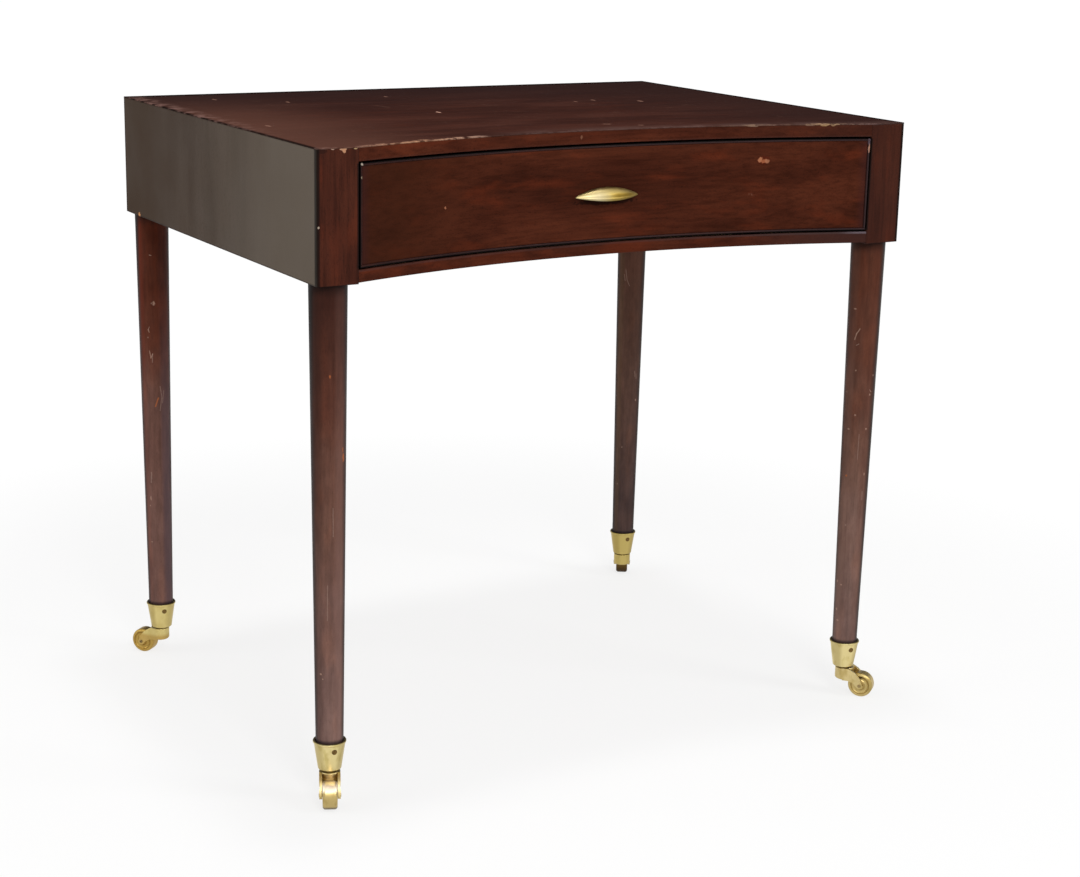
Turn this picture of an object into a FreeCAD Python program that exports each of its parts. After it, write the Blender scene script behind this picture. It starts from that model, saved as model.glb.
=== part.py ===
import FreeCAD, Part
import math
import os

# Writing table: a shallow case with a hollow front and one drawer, on four round tapered legs
# with brass casters. X runs left to right, Y front to back, Z up from the floor, in millimetres.
# The origin is on the floor under the middle of the table.

# Overall
width = 772.0
depth = 581.0
height = 734.0
case_height = 144.4
front_dip = 53.2
edge_ease = 0.7

# Top and sides of the case
top_veneer_thickness = 1.2
side_veneer_thickness = 1.0
veneer_ease_share = 0.7
board_thickness = 14.1
panel_thickness = 18.0
rail_height = 13.5
rail_lift = 1.4
rail_depth = 30.0

# Legs, each one piece with its corner post
post_size = 47.2
leg_side_shift = 0.7
leg_back_shift = 1.0
leg_top_diameter = 42.0
leg_rim_diameter = 31.2
leg_end_diameter = 22.4
leg_fit = 0.15

# Joints of the case
tenon_thickness = 8.0
tenon_length = 16.0
tenon_shoulder = 12.0
rail_tenon_height = 6.0
rail_tenon_depth = 24.0

# Runners, guides, kickers, stops and glue blocks
runner_reach = 46.0
guide_height = 24.0
guide_clearance = 0.6
kicker_width = 40.0
slide_clearance = 0.3
stop_width = 26.0
stop_length = 30.0
stop_height = 5.0
stop_place_share = 0.6
block_size = 16.0
block_length = 60.0
block_place_shares = (-0.6, 0.0, 0.6)

# Drawer
drawer_gap = 2.0
drawer_side_gap = 1.6
front_thickness = 20.0
bead_width = 3.0
bead_depth = 6.0
bead_proud = 1.0
bead_flats = 6
drawer_side_thickness = 12.0
drawer_back_thickness = 12.0
drawer_top_drop = 11.5
drawer_back_drop = 7.0
drawer_end_space = 8.0
bottom_thickness = 6.0
bottom_lift = 8.0
groove_depth = 6.0
tail_lap = 1.0
front_tail_count = 4
back_tail_count = 3
tail_root_share = 0.5
tail_tip_share = 0.66

# Drawer pull, a leaf-shaped brass grip with an undercut lower lip
pull_length = 89.0
pull_height = 15.2
pull_rise = 2.8
pull_reach = 13.5
pull_drop = 3.4
pull_sink = 0.5
pull_place_shares = (-0.985, -0.88, -0.7, -0.45, -0.2, 0.0, 0.2, 0.45, 0.7, 0.88, 0.985)
pull_brow_shares = (0.74, 0.55)
pull_crest_shares = (0.97, -0.42)
pull_edge_shares = (1.0, -0.7)
pull_lip_shares = (0.92, -0.93)
pull_under_shares = (0.45, -0.62)
pull_bolt_spread = 40.0
pull_bolt_diameter = 4.0
pull_bolt_depth = 5.0
pull_bolt_head_diameter = 9.0
pull_bolt_head_height = 2.5
spot_depth = 0.6
spot_clearance = 0.8

# Wood screws
runner_screw_diameter = 3.6
runner_screw_head_diameter = 7.0
runner_screw_head_height = 2.6
runner_screw_sink = 12.0
runner_screw_bite = 12.0
runner_screw_shares = (-0.7, 0.0, 0.7)
bottom_screw_diameter = 3.0
bottom_screw_head_diameter = 6.0
bottom_screw_head_height = 1.6
bottom_screw_length = 20.0
bottom_screw_shares = (-0.6, 0.0, 0.6)
slot_share = 0.18
slot_depth_share = 0.45

# Caster wheel and axle
wheel_diameter = 31.5
wheel_width = 16.6
wheel_crown = 2.8
wheel_shoulder = 3.6
wheel_dish_outer_diameter = 24.0
wheel_hub_diameter = 10.4
wheel_dish_depth = 2.4
axle_diameter = 4.0
axle_proud = 0.5
running_clearance = 0.05

# Caster fork
fork_width = 23.8
fork_back_reach = 9.5
fork_rise = 4.75
fork_height = 16.0
fork_corner = 3.0
fork_top_ease = 0.8
fork_wheel_gap = 0.35
fork_slot_clearance = 1.2
fork_boss_diameter = 15.0
fork_boss_height = 1.5
fork_arm_end = 4.4
fork_arm_flat = 9.5
fork_arm_foot = 9.5
fork_arm_lean = 35.0
fork_arm_back_shares = (-0.87, 0.66)
fork_arm_belly_shares = (0.2, 0.25)
fork_waist_radius = 14.0
fork_waist_depth = 0.8
fork_waist_place_share = 0.5
wheel_pin_space = 9.25

# Caster pin and cup
pin_diameter = 6.0
pin_head_diameter = 10.4
pin_head_height = 2.0
pin_rivet_diameter = 10.0
pin_rivet_height = 1.8
thrust_gap = 0.3
cup_height = 34.0
cup_floor = 3.0
cup_foot_diameter = 24.2
cup_bottom_diameter = 26.6
cup_top_diameter = 35.4
cup_lip_diameter = 37.6
cup_lip_height = 2.8
cup_lip_wall = 2.4
cup_foot_round = 1.5
cup_screw_drop = 9.4
cup_screw_diameter = 3.0
cup_screw_head_diameter = 6.0
cup_screw_head_depth = 1.2
cup_screw_proud = 0.4
cup_screw_length = 11.0
cup_screw_angle = -96.0
cup_screw_slot_angle = 45.0

# Where each caster trails, in degrees from +X
fork_angles = {"front_left": -114.0, "front_right": -51.0, "back_left": 130.0, "back_right": 57.0}

# How far a cutting solid runs past what it cuts
overrun = 2.0

# Places worked out from the sizes above
front_y = -depth / 2
back_y = depth / 2
case_x = width / 2 - side_veneer_thickness
post_x = case_x - post_size
leg_x = case_x - post_size / 2 + leg_side_shift
leg_y = depth / 2 - post_size / 2 - leg_back_shift
front_radius = (post_x ** 2 + front_dip ** 2) / (2 * front_dip)
arc_y0 = front_y + front_dip - front_radius
rail_back_y = front_y + front_dip + rail_depth
panel_y = back_y - panel_thickness
post_back_y = depth / 2 - post_size

board_top_z = height - top_veneer_thickness
board_z = board_top_z - board_thickness
case_z = height - case_height
rail_z = case_z + rail_lift
rail_top_z = rail_z + rail_height

drawer_x = post_x - drawer_side_gap
drawer_inner_x = drawer_x - drawer_side_thickness
drawer_z0 = rail_top_z + drawer_gap
drawer_z1 = board_z - drawer_gap
side_z0 = rail_top_z + slide_clearance
side_z1 = drawer_z1 - drawer_top_drop
drawer_back_y1 = panel_y - drawer_end_space
drawer_back_y0 = drawer_back_y1 - drawer_back_thickness
bottom_z0 = side_z0 + bottom_lift
bottom_z1 = bottom_z0 + bottom_thickness
drawer_back_z1 = side_z1 - drawer_back_drop
pull_z = (drawer_z0 + drawer_z1) / 2 - pull_drop

axle_z = wheel_diameter / 2
trail = wheel_diameter / 2 + wheel_pin_space
fork_z0 = axle_z + fork_rise
fork_z1 = fork_z0 + fork_height
cup_z0 = fork_z1 + fork_boss_height + thrust_gap
rim_z = cup_z0 + cup_height
leg_end_z = cup_z0 + cup_floor

corners = {
    "front_left": (-1, -1),
    "front_right": (1, -1),
    "back_left": (-1, 1),
    "back_right": (1, 1),
}
sides = {"left": -1, "right": 1}


def vec(x, y, z):
    return FreeCAD.Vector(x, y, z)


def block(x0, x1, y0, y1, z0, z1):
    """A box between two opposite corners, given in any order."""
    low = vec(min(x0, x1), min(y0, y1), min(z0, z1))
    return Part.makeBox(abs(x1 - x0), abs(y1 - y0), abs(z1 - z0), low)


def rod(radius, start, end):
    """A round bar from one point to another."""
    return Part.makeCylinder(radius, start.distanceToPoint(end), start, end - start)


def arc(a, b, c):
    return Part.Arc(a, b, c).toShape()


def line(a, b):
    return Part.LineSegment(a, b).toShape()


def loop(points):
    """Straight edges through the points and back to the first."""
    return Part.makePolygon(list(points) + [points[0]])


def turned(edges):
    """A body of revolution about Z from edges of an (r, 0, z) outline."""
    return Part.Face(Part.Wire(edges)).revolve(vec(0, 0, 0), vec(0, 0, 1), 360)


def turned_points(points):
    return Part.Face(loop([vec(r, 0, z) for r, z in points])).revolve(vec(0, 0, 0), vec(0, 0, 1), 360)


def one(shape):
    """The single solid of a boolean result, with leftover seams removed."""
    return shape.removeSplitter()


def arc_y(radius, x):
    """Where a circle about the centre of the hollow front lies at x."""
    return arc_y0 + math.sqrt(radius ** 2 - x ** 2)


def front_arc(radius, x0, x1, z):
    at = [vec(x, arc_y(radius, x), z) for x in (x0, (x0 + x1) / 2, x1)]
    return arc(at[0], at[1], at[2])


def hollow_plate(radius, half, y_back, z0, z1):
    """A plate with the hollow curve in front and a straight back."""
    edges = [
        front_arc(radius, -half, half, z0),
        line(vec(half, arc_y(radius, half), z0), vec(half, y_back, z0)),
        line(vec(half, y_back, z0), vec(-half, y_back, z0)),
        line(vec(-half, y_back, z0), vec(-half, arc_y(radius, half), z0)),
    ]
    return Part.Face(Part.Wire(edges)).extrude(vec(0, 0, z1 - z0))


def curved_slab(radius0, radius1, x0, x1, z0, z1):
    """A slab between two circles about the centre of the hollow front."""
    edges = [
        front_arc(radius0, x0, x1, z0),
        line(vec(x1, arc_y(radius0, x1), z0), vec(x1, arc_y(radius1, x1), z0)),
        front_arc(radius1, x1, x0, z0),
        line(vec(x0, arc_y(radius1, x0), z0), vec(x0, arc_y(radius0, x0), z0)),
    ]
    return Part.Face(Part.Wire(edges)).extrude(vec(0, 0, z1 - z0))


def eased(shape, radius, pick):
    """Round the edges whose centre the test picks."""
    edges = [edge for edge in shape.Edges if pick(edge)]
    return shape.makeFillet(radius, edges)


parts = {}

# Tenons, each made once: its piece carries it and the post is cut by it


def side_tenons(s):
    x_mid = s * (case_x - panel_thickness / 2)
    found = []
    for end in (-1, 1):
        found.append(block(x_mid - tenon_thickness / 2, x_mid + tenon_thickness / 2,
                           end * post_back_y, end * (post_back_y + tenon_length),
                           case_z + tenon_shoulder, board_z - tenon_shoulder))
    return found


def back_tenons():
    y_mid = back_y - panel_thickness / 2
    return [block(s * post_x, s * (post_x + tenon_length),
                  y_mid - tenon_thickness / 2, y_mid + tenon_thickness / 2,
                  case_z + tenon_shoulder, board_z - tenon_shoulder) for s in (-1, 1)]


def rail_tenons(z_mid):
    return [block(s * post_x, s * (post_x + tenon_length),
                  -leg_y - rail_tenon_depth / 2, -leg_y + rail_tenon_depth / 2,
                  z_mid - rail_tenon_height / 2, z_mid + rail_tenon_height / 2) for s in (-1, 1)]


low_tenons = rail_tenons((rail_z + rail_top_z) / 2)
high_tenons = rail_tenons((board_z + board_top_z) / 2)

# Case: top, rails, sides and back


def make_top_veneer():
    z0 = board_top_z
    edges = [
        front_arc(front_radius, -post_x, post_x, z0),
        line(vec(post_x, front_y, z0), vec(width / 2, front_y, z0)),
        line(vec(width / 2, front_y, z0), vec(width / 2, back_y, z0)),
        line(vec(width / 2, back_y, z0), vec(-width / 2, back_y, z0)),
        line(vec(-width / 2, back_y, z0), vec(-width / 2, front_y, z0)),
        line(vec(-width / 2, front_y, z0), vec(-post_x, front_y, z0)),
    ]
    sheet = Part.Face(Part.Wire(edges)).extrude(vec(0, 0, top_veneer_thickness))
    radius = min(edge_ease, top_veneer_thickness * veneer_ease_share)
    return eased(sheet, radius, lambda edge: edge.BoundBox.ZMin > z0 + top_veneer_thickness / 2)


def make_top_board():
    """The core of the top, notched round the four posts and straight behind the front rail."""
    outline = [
        (-case_x, -post_back_y), (-post_x, -post_back_y), (-post_x, rail_back_y), (post_x, rail_back_y),
        (post_x, -post_back_y), (case_x, -post_back_y), (case_x, post_back_y), (post_x, post_back_y),
        (post_x, back_y), (-post_x, back_y), (-post_x, post_back_y), (-case_x, post_back_y),
    ]
    face = Part.Face(loop([vec(x, y, board_z) for x, y in outline]))
    return face.extrude(vec(0, 0, board_thickness))


def make_side_veneer(s):
    sheet = block(s * case_x, s * width / 2, front_y, back_y, case_z, board_top_z)
    radius = min(edge_ease, side_veneer_thickness * veneer_ease_share)
    outer = width / 2 - side_veneer_thickness / 2
    return eased(sheet, radius,
                 lambda edge: abs(edge.CenterOfMass.x) > outer and edge.CenterOfMass.z < board_z)


parts["top_veneer"] = make_top_veneer()
parts["top_board"] = make_top_board()
parts["front_rail_top"] = one(
    hollow_plate(front_radius, post_x, rail_back_y, board_z, board_top_z).multiFuse(high_tenons))
low_rail = hollow_plate(front_radius, post_x, rail_back_y, rail_z, rail_top_z)
low_arris = [edge for edge in low_rail.Edges
             if edge.BoundBox.XLength > post_x and edge.BoundBox.YLength > front_dip / 2
             and edge.BoundBox.ZMax < rail_top_z]
parts["front_rail_bottom"] = one(low_rail.makeChamfer(edge_ease, low_arris).multiFuse(low_tenons))
parts["back_panel"] = one(
    block(-post_x, post_x, panel_y, back_y, case_z, board_z).multiFuse(back_tenons()))
for name, s in sides.items():
    panel = block(s * (case_x - panel_thickness), s * case_x, -post_back_y, post_back_y, case_z, board_z)
    parts["side_panel_" + name] = one(panel.multiFuse(side_tenons(s)))
    parts["side_veneer_" + name] = make_side_veneer(s)

# Legs: a square post in the case, a straight taper and a turned end inside the caster cup


def cup_inner_radius(z):
    """The inside of the cup, a cone that the end of the leg fits."""
    share = (z - leg_end_z) / (rim_z - leg_end_z)
    return (leg_end_diameter + (leg_rim_diameter - leg_end_diameter) * share) / 2 + leg_fit


def make_leg(sx, sy):
    taper = turned_points([
        (0, leg_end_z),
        (leg_end_diameter / 2, leg_end_z),
        (leg_rim_diameter / 2, rim_z),
        (leg_top_diameter / 2, case_z),
        (leg_top_diameter / 2, case_z + overrun),
        (0, case_z + overrun),
    ])
    taper.translate(vec(sx * leg_x, sy * leg_y, 0))
    post = block(sx * post_x, sx * case_x, sy * post_back_y, sy * back_y, case_z, board_top_z)
    leg = post.fuse(taper)
    rivet_hole = rod(pin_rivet_diameter / 2 + leg_fit, vec(sx * leg_x, sy * leg_y, leg_end_z - overrun),
                     vec(sx * leg_x, sy * leg_y, leg_end_z + pin_rivet_height + leg_fit))
    cutters = side_tenons(sx) + [rivet_hole]
    cutters += back_tenons() if sy > 0 else low_tenons + high_tenons
    for cutter in cutters:
        if cutter.BoundBox.intersect(leg.BoundBox):
            leg = leg.cut(cutter)
    return one(leg)


for name, (sx, sy) in corners.items():
    parts["leg_" + name] = make_leg(sx, sy)

# What carries and stops the drawer


def runner_screw(s, y):
    """One screw from a sunk hole in the runner into the side panel, lying along X."""
    z = (rail_z + rail_top_z) / 2
    inner = case_x - panel_thickness - runner_reach
    seat = inner + runner_screw_sink
    tip = case_x - panel_thickness + runner_screw_bite
    head_end = seat - runner_screw_head_height
    shank = rod(runner_screw_diameter / 2, vec(s * seat, y, z), vec(s * tip, y, z))
    head = rod(runner_screw_head_diameter / 2, vec(s * head_end, y, z), vec(s * seat, y, z))
    slot_half = runner_screw_head_diameter * slot_share / 2
    slot_end = head_end + runner_screw_head_height * slot_depth_share
    slot = block(s * (head_end - overrun), s * slot_end, y - runner_screw_head_diameter,
                 y + runner_screw_head_diameter, z - slot_half, z + slot_half)
    sink = rod(runner_screw_head_diameter / 2, vec(s * (inner - overrun), y, z), vec(s * seat, y, z))
    return one(head.fuse(shank)).cut(slot), sink.fuse(shank)


runner_span = panel_y - rail_back_y
runner_mid = (panel_y + rail_back_y) / 2
screws = []
for name, s in sides.items():
    wall = case_x - panel_thickness
    runner = one(block(s * (wall - runner_reach), s * post_x, rail_back_y, panel_y, rail_z, rail_top_z).fuse(
        block(s * post_x, s * wall, -post_back_y, post_back_y, rail_z, rail_top_z)))
    guide = block(s * (drawer_x + guide_clearance), s * wall, -post_back_y, post_back_y,
                  rail_top_z, rail_top_z + guide_height)
    kicker = block(s * (wall - kicker_width), s * wall, -post_back_y, post_back_y,
                   side_z1 + slide_clearance, board_z)
    for share in runner_screw_shares:
        screw, hole = runner_screw(s, runner_mid + share * runner_span / 2)
        screws.append(screw)
        runner = runner.cut(hole)
        parts["side_panel_" + name] = parts["side_panel_" + name].cut(hole)
    parts["drawer_runner_" + name] = runner
    parts["drawer_guide_" + name] = guide
    parts["drawer_kicker_" + name] = kicker
parts["runner_screws"] = Part.makeCompound(screws)

stops = []
for s in (-1, 1):
    x = s * stop_place_share * post_x
    y = arc_y(front_radius + front_thickness, x)
    stop = block(x - stop_length / 2, x + stop_length / 2, y - stop_width / 2, y + stop_width / 2,
                 rail_top_z, rail_top_z + stop_height)
    face = front_radius + front_thickness + slide_clearance
    keep = curved_slab(face, face + stop_width, x - stop_length, x + stop_length,
                       rail_top_z, rail_top_z + stop_height)
    stops.append(stop.common(keep))
parts["drawer_stops"] = Part.makeCompound(stops)

blocks = []
for share in block_place_shares:
    x = share * post_x - block_length / 2
    wedge = Part.Face(loop([vec(x, panel_y, board_z), vec(x, panel_y - block_size, board_z),
                            vec(x, panel_y, board_z - block_size)]))
    blocks.append(wedge.extrude(vec(block_length, 0, 0)))
parts["glue_blocks"] = Part.makeCompound(blocks)

# Drawer: curved front in cock beads, dovetailed sides and back, a bottom in grooves


def tails(s, count, z0, z1, y_root, y_tip):
    """The dovetails on one end of a drawer side, wider at the tip than at the root."""
    pitch = (z1 - z0) / count
    found = []
    for index in range(count):
        z = z0 + pitch * (index + 0.5)
        root = pitch * tail_root_share / 2
        tip = pitch * tail_tip_share / 2
        x = s * drawer_inner_x
        face = Part.Face(loop([vec(x, y_root, z - root), vec(x, y_tip, z - tip),
                               vec(x, y_tip, z + tip), vec(x, y_root, z + root)]))
        found.append(face.extrude(vec(s * drawer_side_thickness, 0, 0)))
    return found


def bead_ring(z0):
    """A straight-ended bead along the curve, rounded in front by a few narrow flats."""
    span = math.degrees(math.asin(drawer_x / (front_radius - bead_proud)) + overrun / front_radius)
    inner = front_radius + bead_depth
    outline = [(inner, z0)]
    for index in range(bead_flats + 1):
        angle = math.pi * (index / bead_flats - 0.5)
        outline.append((front_radius - bead_proud * math.cos(angle), z0 + bead_width / 2 * (1 + math.sin(angle))))
    outline.append((inner, z0 + bead_width))
    face = Part.Face(loop([vec(0, arc_y0 + r, z) for r, z in outline]))
    face.rotate(vec(0, arc_y0, 0), vec(0, 0, 1), -span)
    ring = face.revolve(vec(0, arc_y0, 0), vec(0, 0, 1), 2 * span)
    ends = block(-drawer_x, drawer_x, front_y - front_dip, rail_back_y,
                 z0 - overrun, z0 + bead_width + overrun)
    return ring.common(ends)


def side_bead(s):
    """The upright bead at one end of the drawer front."""
    x0 = s * (drawer_x - bead_width)
    x1 = s * drawer_x
    middle = (x0 + x1) / 2
    z = drawer_z0 + bead_width
    outline = Part.Wire([
        arc(vec(x0, arc_y(front_radius, x0), z), vec(middle, arc_y(front_radius, middle) - bead_proud, z),
            vec(x1, arc_y(front_radius, x1), z)),
        line(vec(x1, arc_y(front_radius, x1), z), vec(x1, arc_y(front_radius + bead_depth, x1), z)),
        front_arc(front_radius + bead_depth, x1, x0, z),
        line(vec(x0, arc_y(front_radius + bead_depth, x0), z), vec(x0, arc_y(front_radius, x0), z)),
    ])
    return Part.Face(outline).extrude(vec(0, 0, drawer_z1 - drawer_z0 - 2 * bead_width))


drawer_bottom = hollow_plate(front_radius + front_thickness - groove_depth, drawer_inner_x + groove_depth,
                             drawer_back_y1, bottom_z0, bottom_z1)
drawer_back = block(-drawer_x, drawer_x, drawer_back_y0, drawer_back_y1, bottom_z1, drawer_back_z1)

rebate = curved_slab(front_radius - overrun, front_radius + bead_depth, -drawer_x - overrun,
                     drawer_x + overrun, drawer_z0 - overrun, drawer_z1 + overrun)
field = curved_slab(front_radius - 2 * overrun, front_radius + bead_depth + overrun, bead_width - drawer_x,
                    drawer_x - bead_width, drawer_z0 + bead_width, drawer_z1 - bead_width)
drawer_front = curved_slab(front_radius, front_radius + front_thickness, -drawer_x, drawer_x,
                           drawer_z0, drawer_z1).cut(rebate.cut(field))

tail_tip_y = arc_y(front_radius + bead_depth + tail_lap, drawer_inner_x)
tail_root_y = arc_y(front_radius + front_thickness, drawer_inner_x) + overrun
front_space = curved_slab(front_radius - overrun, front_radius + front_thickness, -drawer_x - overrun,
                          drawer_x + overrun, side_z0 - overrun, drawer_z1)
for name, s in sides.items():
    front_tails = tails(s, front_tail_count, drawer_z0, side_z1, tail_root_y, tail_tip_y)
    back_tails = tails(s, back_tail_count, bottom_z1, drawer_back_z1, drawer_back_y0, drawer_back_y1)
    for tail in front_tails:
        drawer_front = drawer_front.cut(tail)
    for tail in back_tails:
        drawer_back = drawer_back.cut(tail)
    board = block(s * drawer_inner_x, s * drawer_x, tail_tip_y, drawer_back_y1, side_z0, side_z1)
    board = board.cut(front_space).multiFuse(front_tails)
    parts["drawer_side_" + name] = one(board.cut(drawer_back).cut(drawer_bottom))

# Pull: sections through the leaf, joined from tip to tip


def pull_section(share):
    """The outline of the pull at a share of its half length from the middle."""
    swell = 1 - share ** 2
    half = pull_height / 2 * swell
    reach = (pull_reach + pull_sink) * swell
    x = share * pull_length / 2
    y_back = arc_y(front_radius, 0) + pull_sink
    z_middle = pull_z + pull_rise * swell

    def at(shares):
        return vec(x, y_back - reach * shares[0], z_middle + half * shares[1])

    heel = at((0, 1))
    crest = at(pull_crest_shares)
    lip = at(pull_lip_shares)
    toe = at((0, -1))
    return Part.Wire([
        arc(heel, at(pull_brow_shares), crest),
        arc(crest, at(pull_edge_shares), lip),
        arc(lip, at(pull_under_shares), toe),
        line(toe, heel),
    ])


leaf = Part.makeLoft([pull_section(share) for share in pull_place_shares], True, False)
free_space = Part.makeCylinder(front_radius, drawer_z1 - drawer_z0, vec(0, arc_y0, drawer_z0))
pull = leaf.common(free_space)

bolts = []
for s in (-1, 1):
    x = s * pull_bolt_spread / 2
    seat = arc_y(front_radius + front_thickness, x) - spot_depth
    tip = arc_y(front_radius, x) - pull_bolt_depth
    shank = rod(pull_bolt_diameter / 2, vec(x, seat, pull_z), vec(x, tip, pull_z))
    head = rod(pull_bolt_head_diameter / 2, vec(x, seat, pull_z),
               vec(x, seat + pull_bolt_head_height, pull_z))
    spot = rod(pull_bolt_head_diameter / 2 + spot_clearance, vec(x, seat, pull_z),
               vec(x, seat + spot_depth + overrun, pull_z))
    slot_half = pull_bolt_head_diameter * slot_share / 2
    slot_floor = seat + pull_bolt_head_height * (1 - slot_depth_share)
    slot = block(x - pull_bolt_head_diameter, x + pull_bolt_head_diameter, slot_floor,
                 seat + pull_bolt_head_height + overrun, pull_z - slot_half, pull_z + slot_half)
    bolts.append(one(head.fuse(shank)).cut(slot))
    drawer_front = drawer_front.cut(spot).cut(shank)
    pull = pull.cut(shank)
parts["pull_bolts"] = Part.makeCompound(bolts)
parts["drawer_pull"] = pull

bottom_screws = []
for share in bottom_screw_shares:
    x = share * drawer_inner_x
    y = (drawer_back_y0 + drawer_back_y1) / 2
    seat = bottom_z0 + bottom_screw_head_height
    shank = rod(bottom_screw_diameter / 2, vec(x, y, seat), vec(x, y, bottom_z0 + bottom_screw_length))
    head = rod(bottom_screw_head_diameter / 2, vec(x, y, bottom_z0), vec(x, y, seat))
    slot_half = bottom_screw_head_diameter * slot_share / 2
    slot = block(x - bottom_screw_head_diameter, x + bottom_screw_head_diameter, y - slot_half, y + slot_half,
                 bottom_z0 - overrun, bottom_z0 + bottom_screw_head_height * slot_depth_share)
    drawer_bottom = drawer_bottom.cut(head).cut(shank)
    drawer_back = drawer_back.cut(shank)
    bottom_screws.append(one(head.fuse(shank)).cut(slot))
parts["bottom_screws"] = Part.makeCompound(bottom_screws)

parts["drawer_front"] = one(drawer_front.cut(drawer_bottom))
parts["drawer_back"] = one(drawer_back)
parts["drawer_bottom"] = drawer_bottom
parts["cock_bead_top"] = bead_ring(drawer_z1 - bead_width)
parts["cock_bead_bottom"] = bead_ring(drawer_z0)
for name, s in sides.items():
    parts["cock_bead_" + name] = side_bead(s)

# Casters, each made with its pin on the Z axis and its wheel trailing along +X, then set in place


def make_cup():
    """A tapered socket with a thick lip, open at the top, with a hole for the pin in its floor."""
    lip_z = rim_z - cup_lip_height
    lip_mid = rim_z - cup_lip_height / 2
    lip_in = cup_lip_diameter / 2 - cup_lip_wall
    side_z = cup_z0 + cup_foot_round
    points = [
        (pin_diameter / 2, cup_z0),
        (cup_foot_diameter / 2, cup_z0),
        (cup_bottom_diameter / 2, side_z),
        (cup_top_diameter / 2, lip_z),
        (cup_lip_diameter / 2 - edge_ease, lip_z),
        (cup_lip_diameter / 2, lip_mid),
        (cup_lip_diameter / 2 - edge_ease, rim_z),
        (lip_in, rim_z),
        (cup_inner_radius(lip_z), lip_z),
        (cup_inner_radius(leg_end_z), leg_end_z),
        (pin_diameter / 2, leg_end_z),
    ]
    at = [vec(r, 0, z) for r, z in points]
    knee = vec(points[1][0] + (points[2][0] - points[1][0]) * math.sqrt(0.5), 0,
               side_z - cup_foot_round * math.sqrt(0.5))
    edges = [line(at[0], at[1]), arc(at[1], knee, at[2]), line(at[2], at[3]), line(at[3], at[4])]
    edges.append(arc(at[4], at[5], at[6]))
    edges += [line(at[i], at[(i + 1) % len(at)]) for i in range(6, len(at))]
    return turned(edges)


def make_pin():
    """The swivel pin: riveted over inside the cup, with a head under the fork."""
    radius = pin_diameter / 2
    head_z = fork_z0 + pin_head_height
    return turned_points([
        (0, fork_z0),
        (pin_head_diameter / 2, fork_z0),
        (pin_head_diameter / 2, head_z),
        (radius, head_z),
        (radius, leg_end_z),
        (pin_rivet_diameter / 2, leg_end_z),
        (pin_rivet_diameter / 2, leg_end_z + pin_rivet_height),
        (0, leg_end_z + pin_rivet_height),
    ])


def fork_arm(side):
    """One horn of the fork, from the round block down to the axle."""
    y0 = side * (wheel_width / 2 + fork_wheel_gap)
    y1 = side * fork_width / 2
    start = fork_width / 2 - fork_back_reach
    tip_x = trail + fork_arm_end
    lean = math.radians(fork_arm_lean)
    heel_x = trail - fork_arm_end * math.cos(lean)
    heel_z = axle_z - fork_arm_end * math.sin(lean)
    back_mid = vec(trail + fork_arm_end * fork_arm_back_shares[0], y0,
                   axle_z + (fork_z1 - axle_z) * fork_arm_back_shares[1])
    belly_mid = vec((heel_x + fork_arm_foot) / 2 + fork_arm_end * fork_arm_belly_shares[0], y0,
                    (heel_z + fork_z0) / 2 + fork_arm_end * fork_arm_belly_shares[1])
    outline = Part.Wire([
        line(vec(start, y0, fork_z0), vec(start, y0, fork_z1)),
        line(vec(start, y0, fork_z1), vec(fork_arm_flat, y0, fork_z1)),
        arc(vec(fork_arm_flat, y0, fork_z1), back_mid, vec(tip_x, y0, axle_z)),
        arc(vec(tip_x, y0, axle_z), vec(trail, y0, axle_z - fork_arm_end), vec(heel_x, y0, heel_z)),
        arc(vec(heel_x, y0, heel_z), belly_mid, vec(fork_arm_foot, y0, fork_z0)),
        line(vec(fork_arm_foot, y0, fork_z0), vec(start, y0, fork_z0)),
    ])
    return Part.Face(outline).extrude(vec(0, y1 - y0, 0))


def fork_waist(side):
    """A shallow hollow across the outside of one horn, between the block and the axle."""
    block_edge = vec(fork_width - fork_back_reach, 0, (fork_z0 + fork_z1) / 2)
    axle = vec(trail, 0, axle_z)
    middle = block_edge + (axle - block_edge) * fork_waist_place_share
    middle.y = side * (fork_width / 2 + fork_waist_radius - fork_waist_depth)
    slope = (axle - block_edge).normalize()
    across = vec(-slope.z, 0, slope.x) * fork_height
    return rod(fork_waist_radius, middle - across, middle + across)


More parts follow.
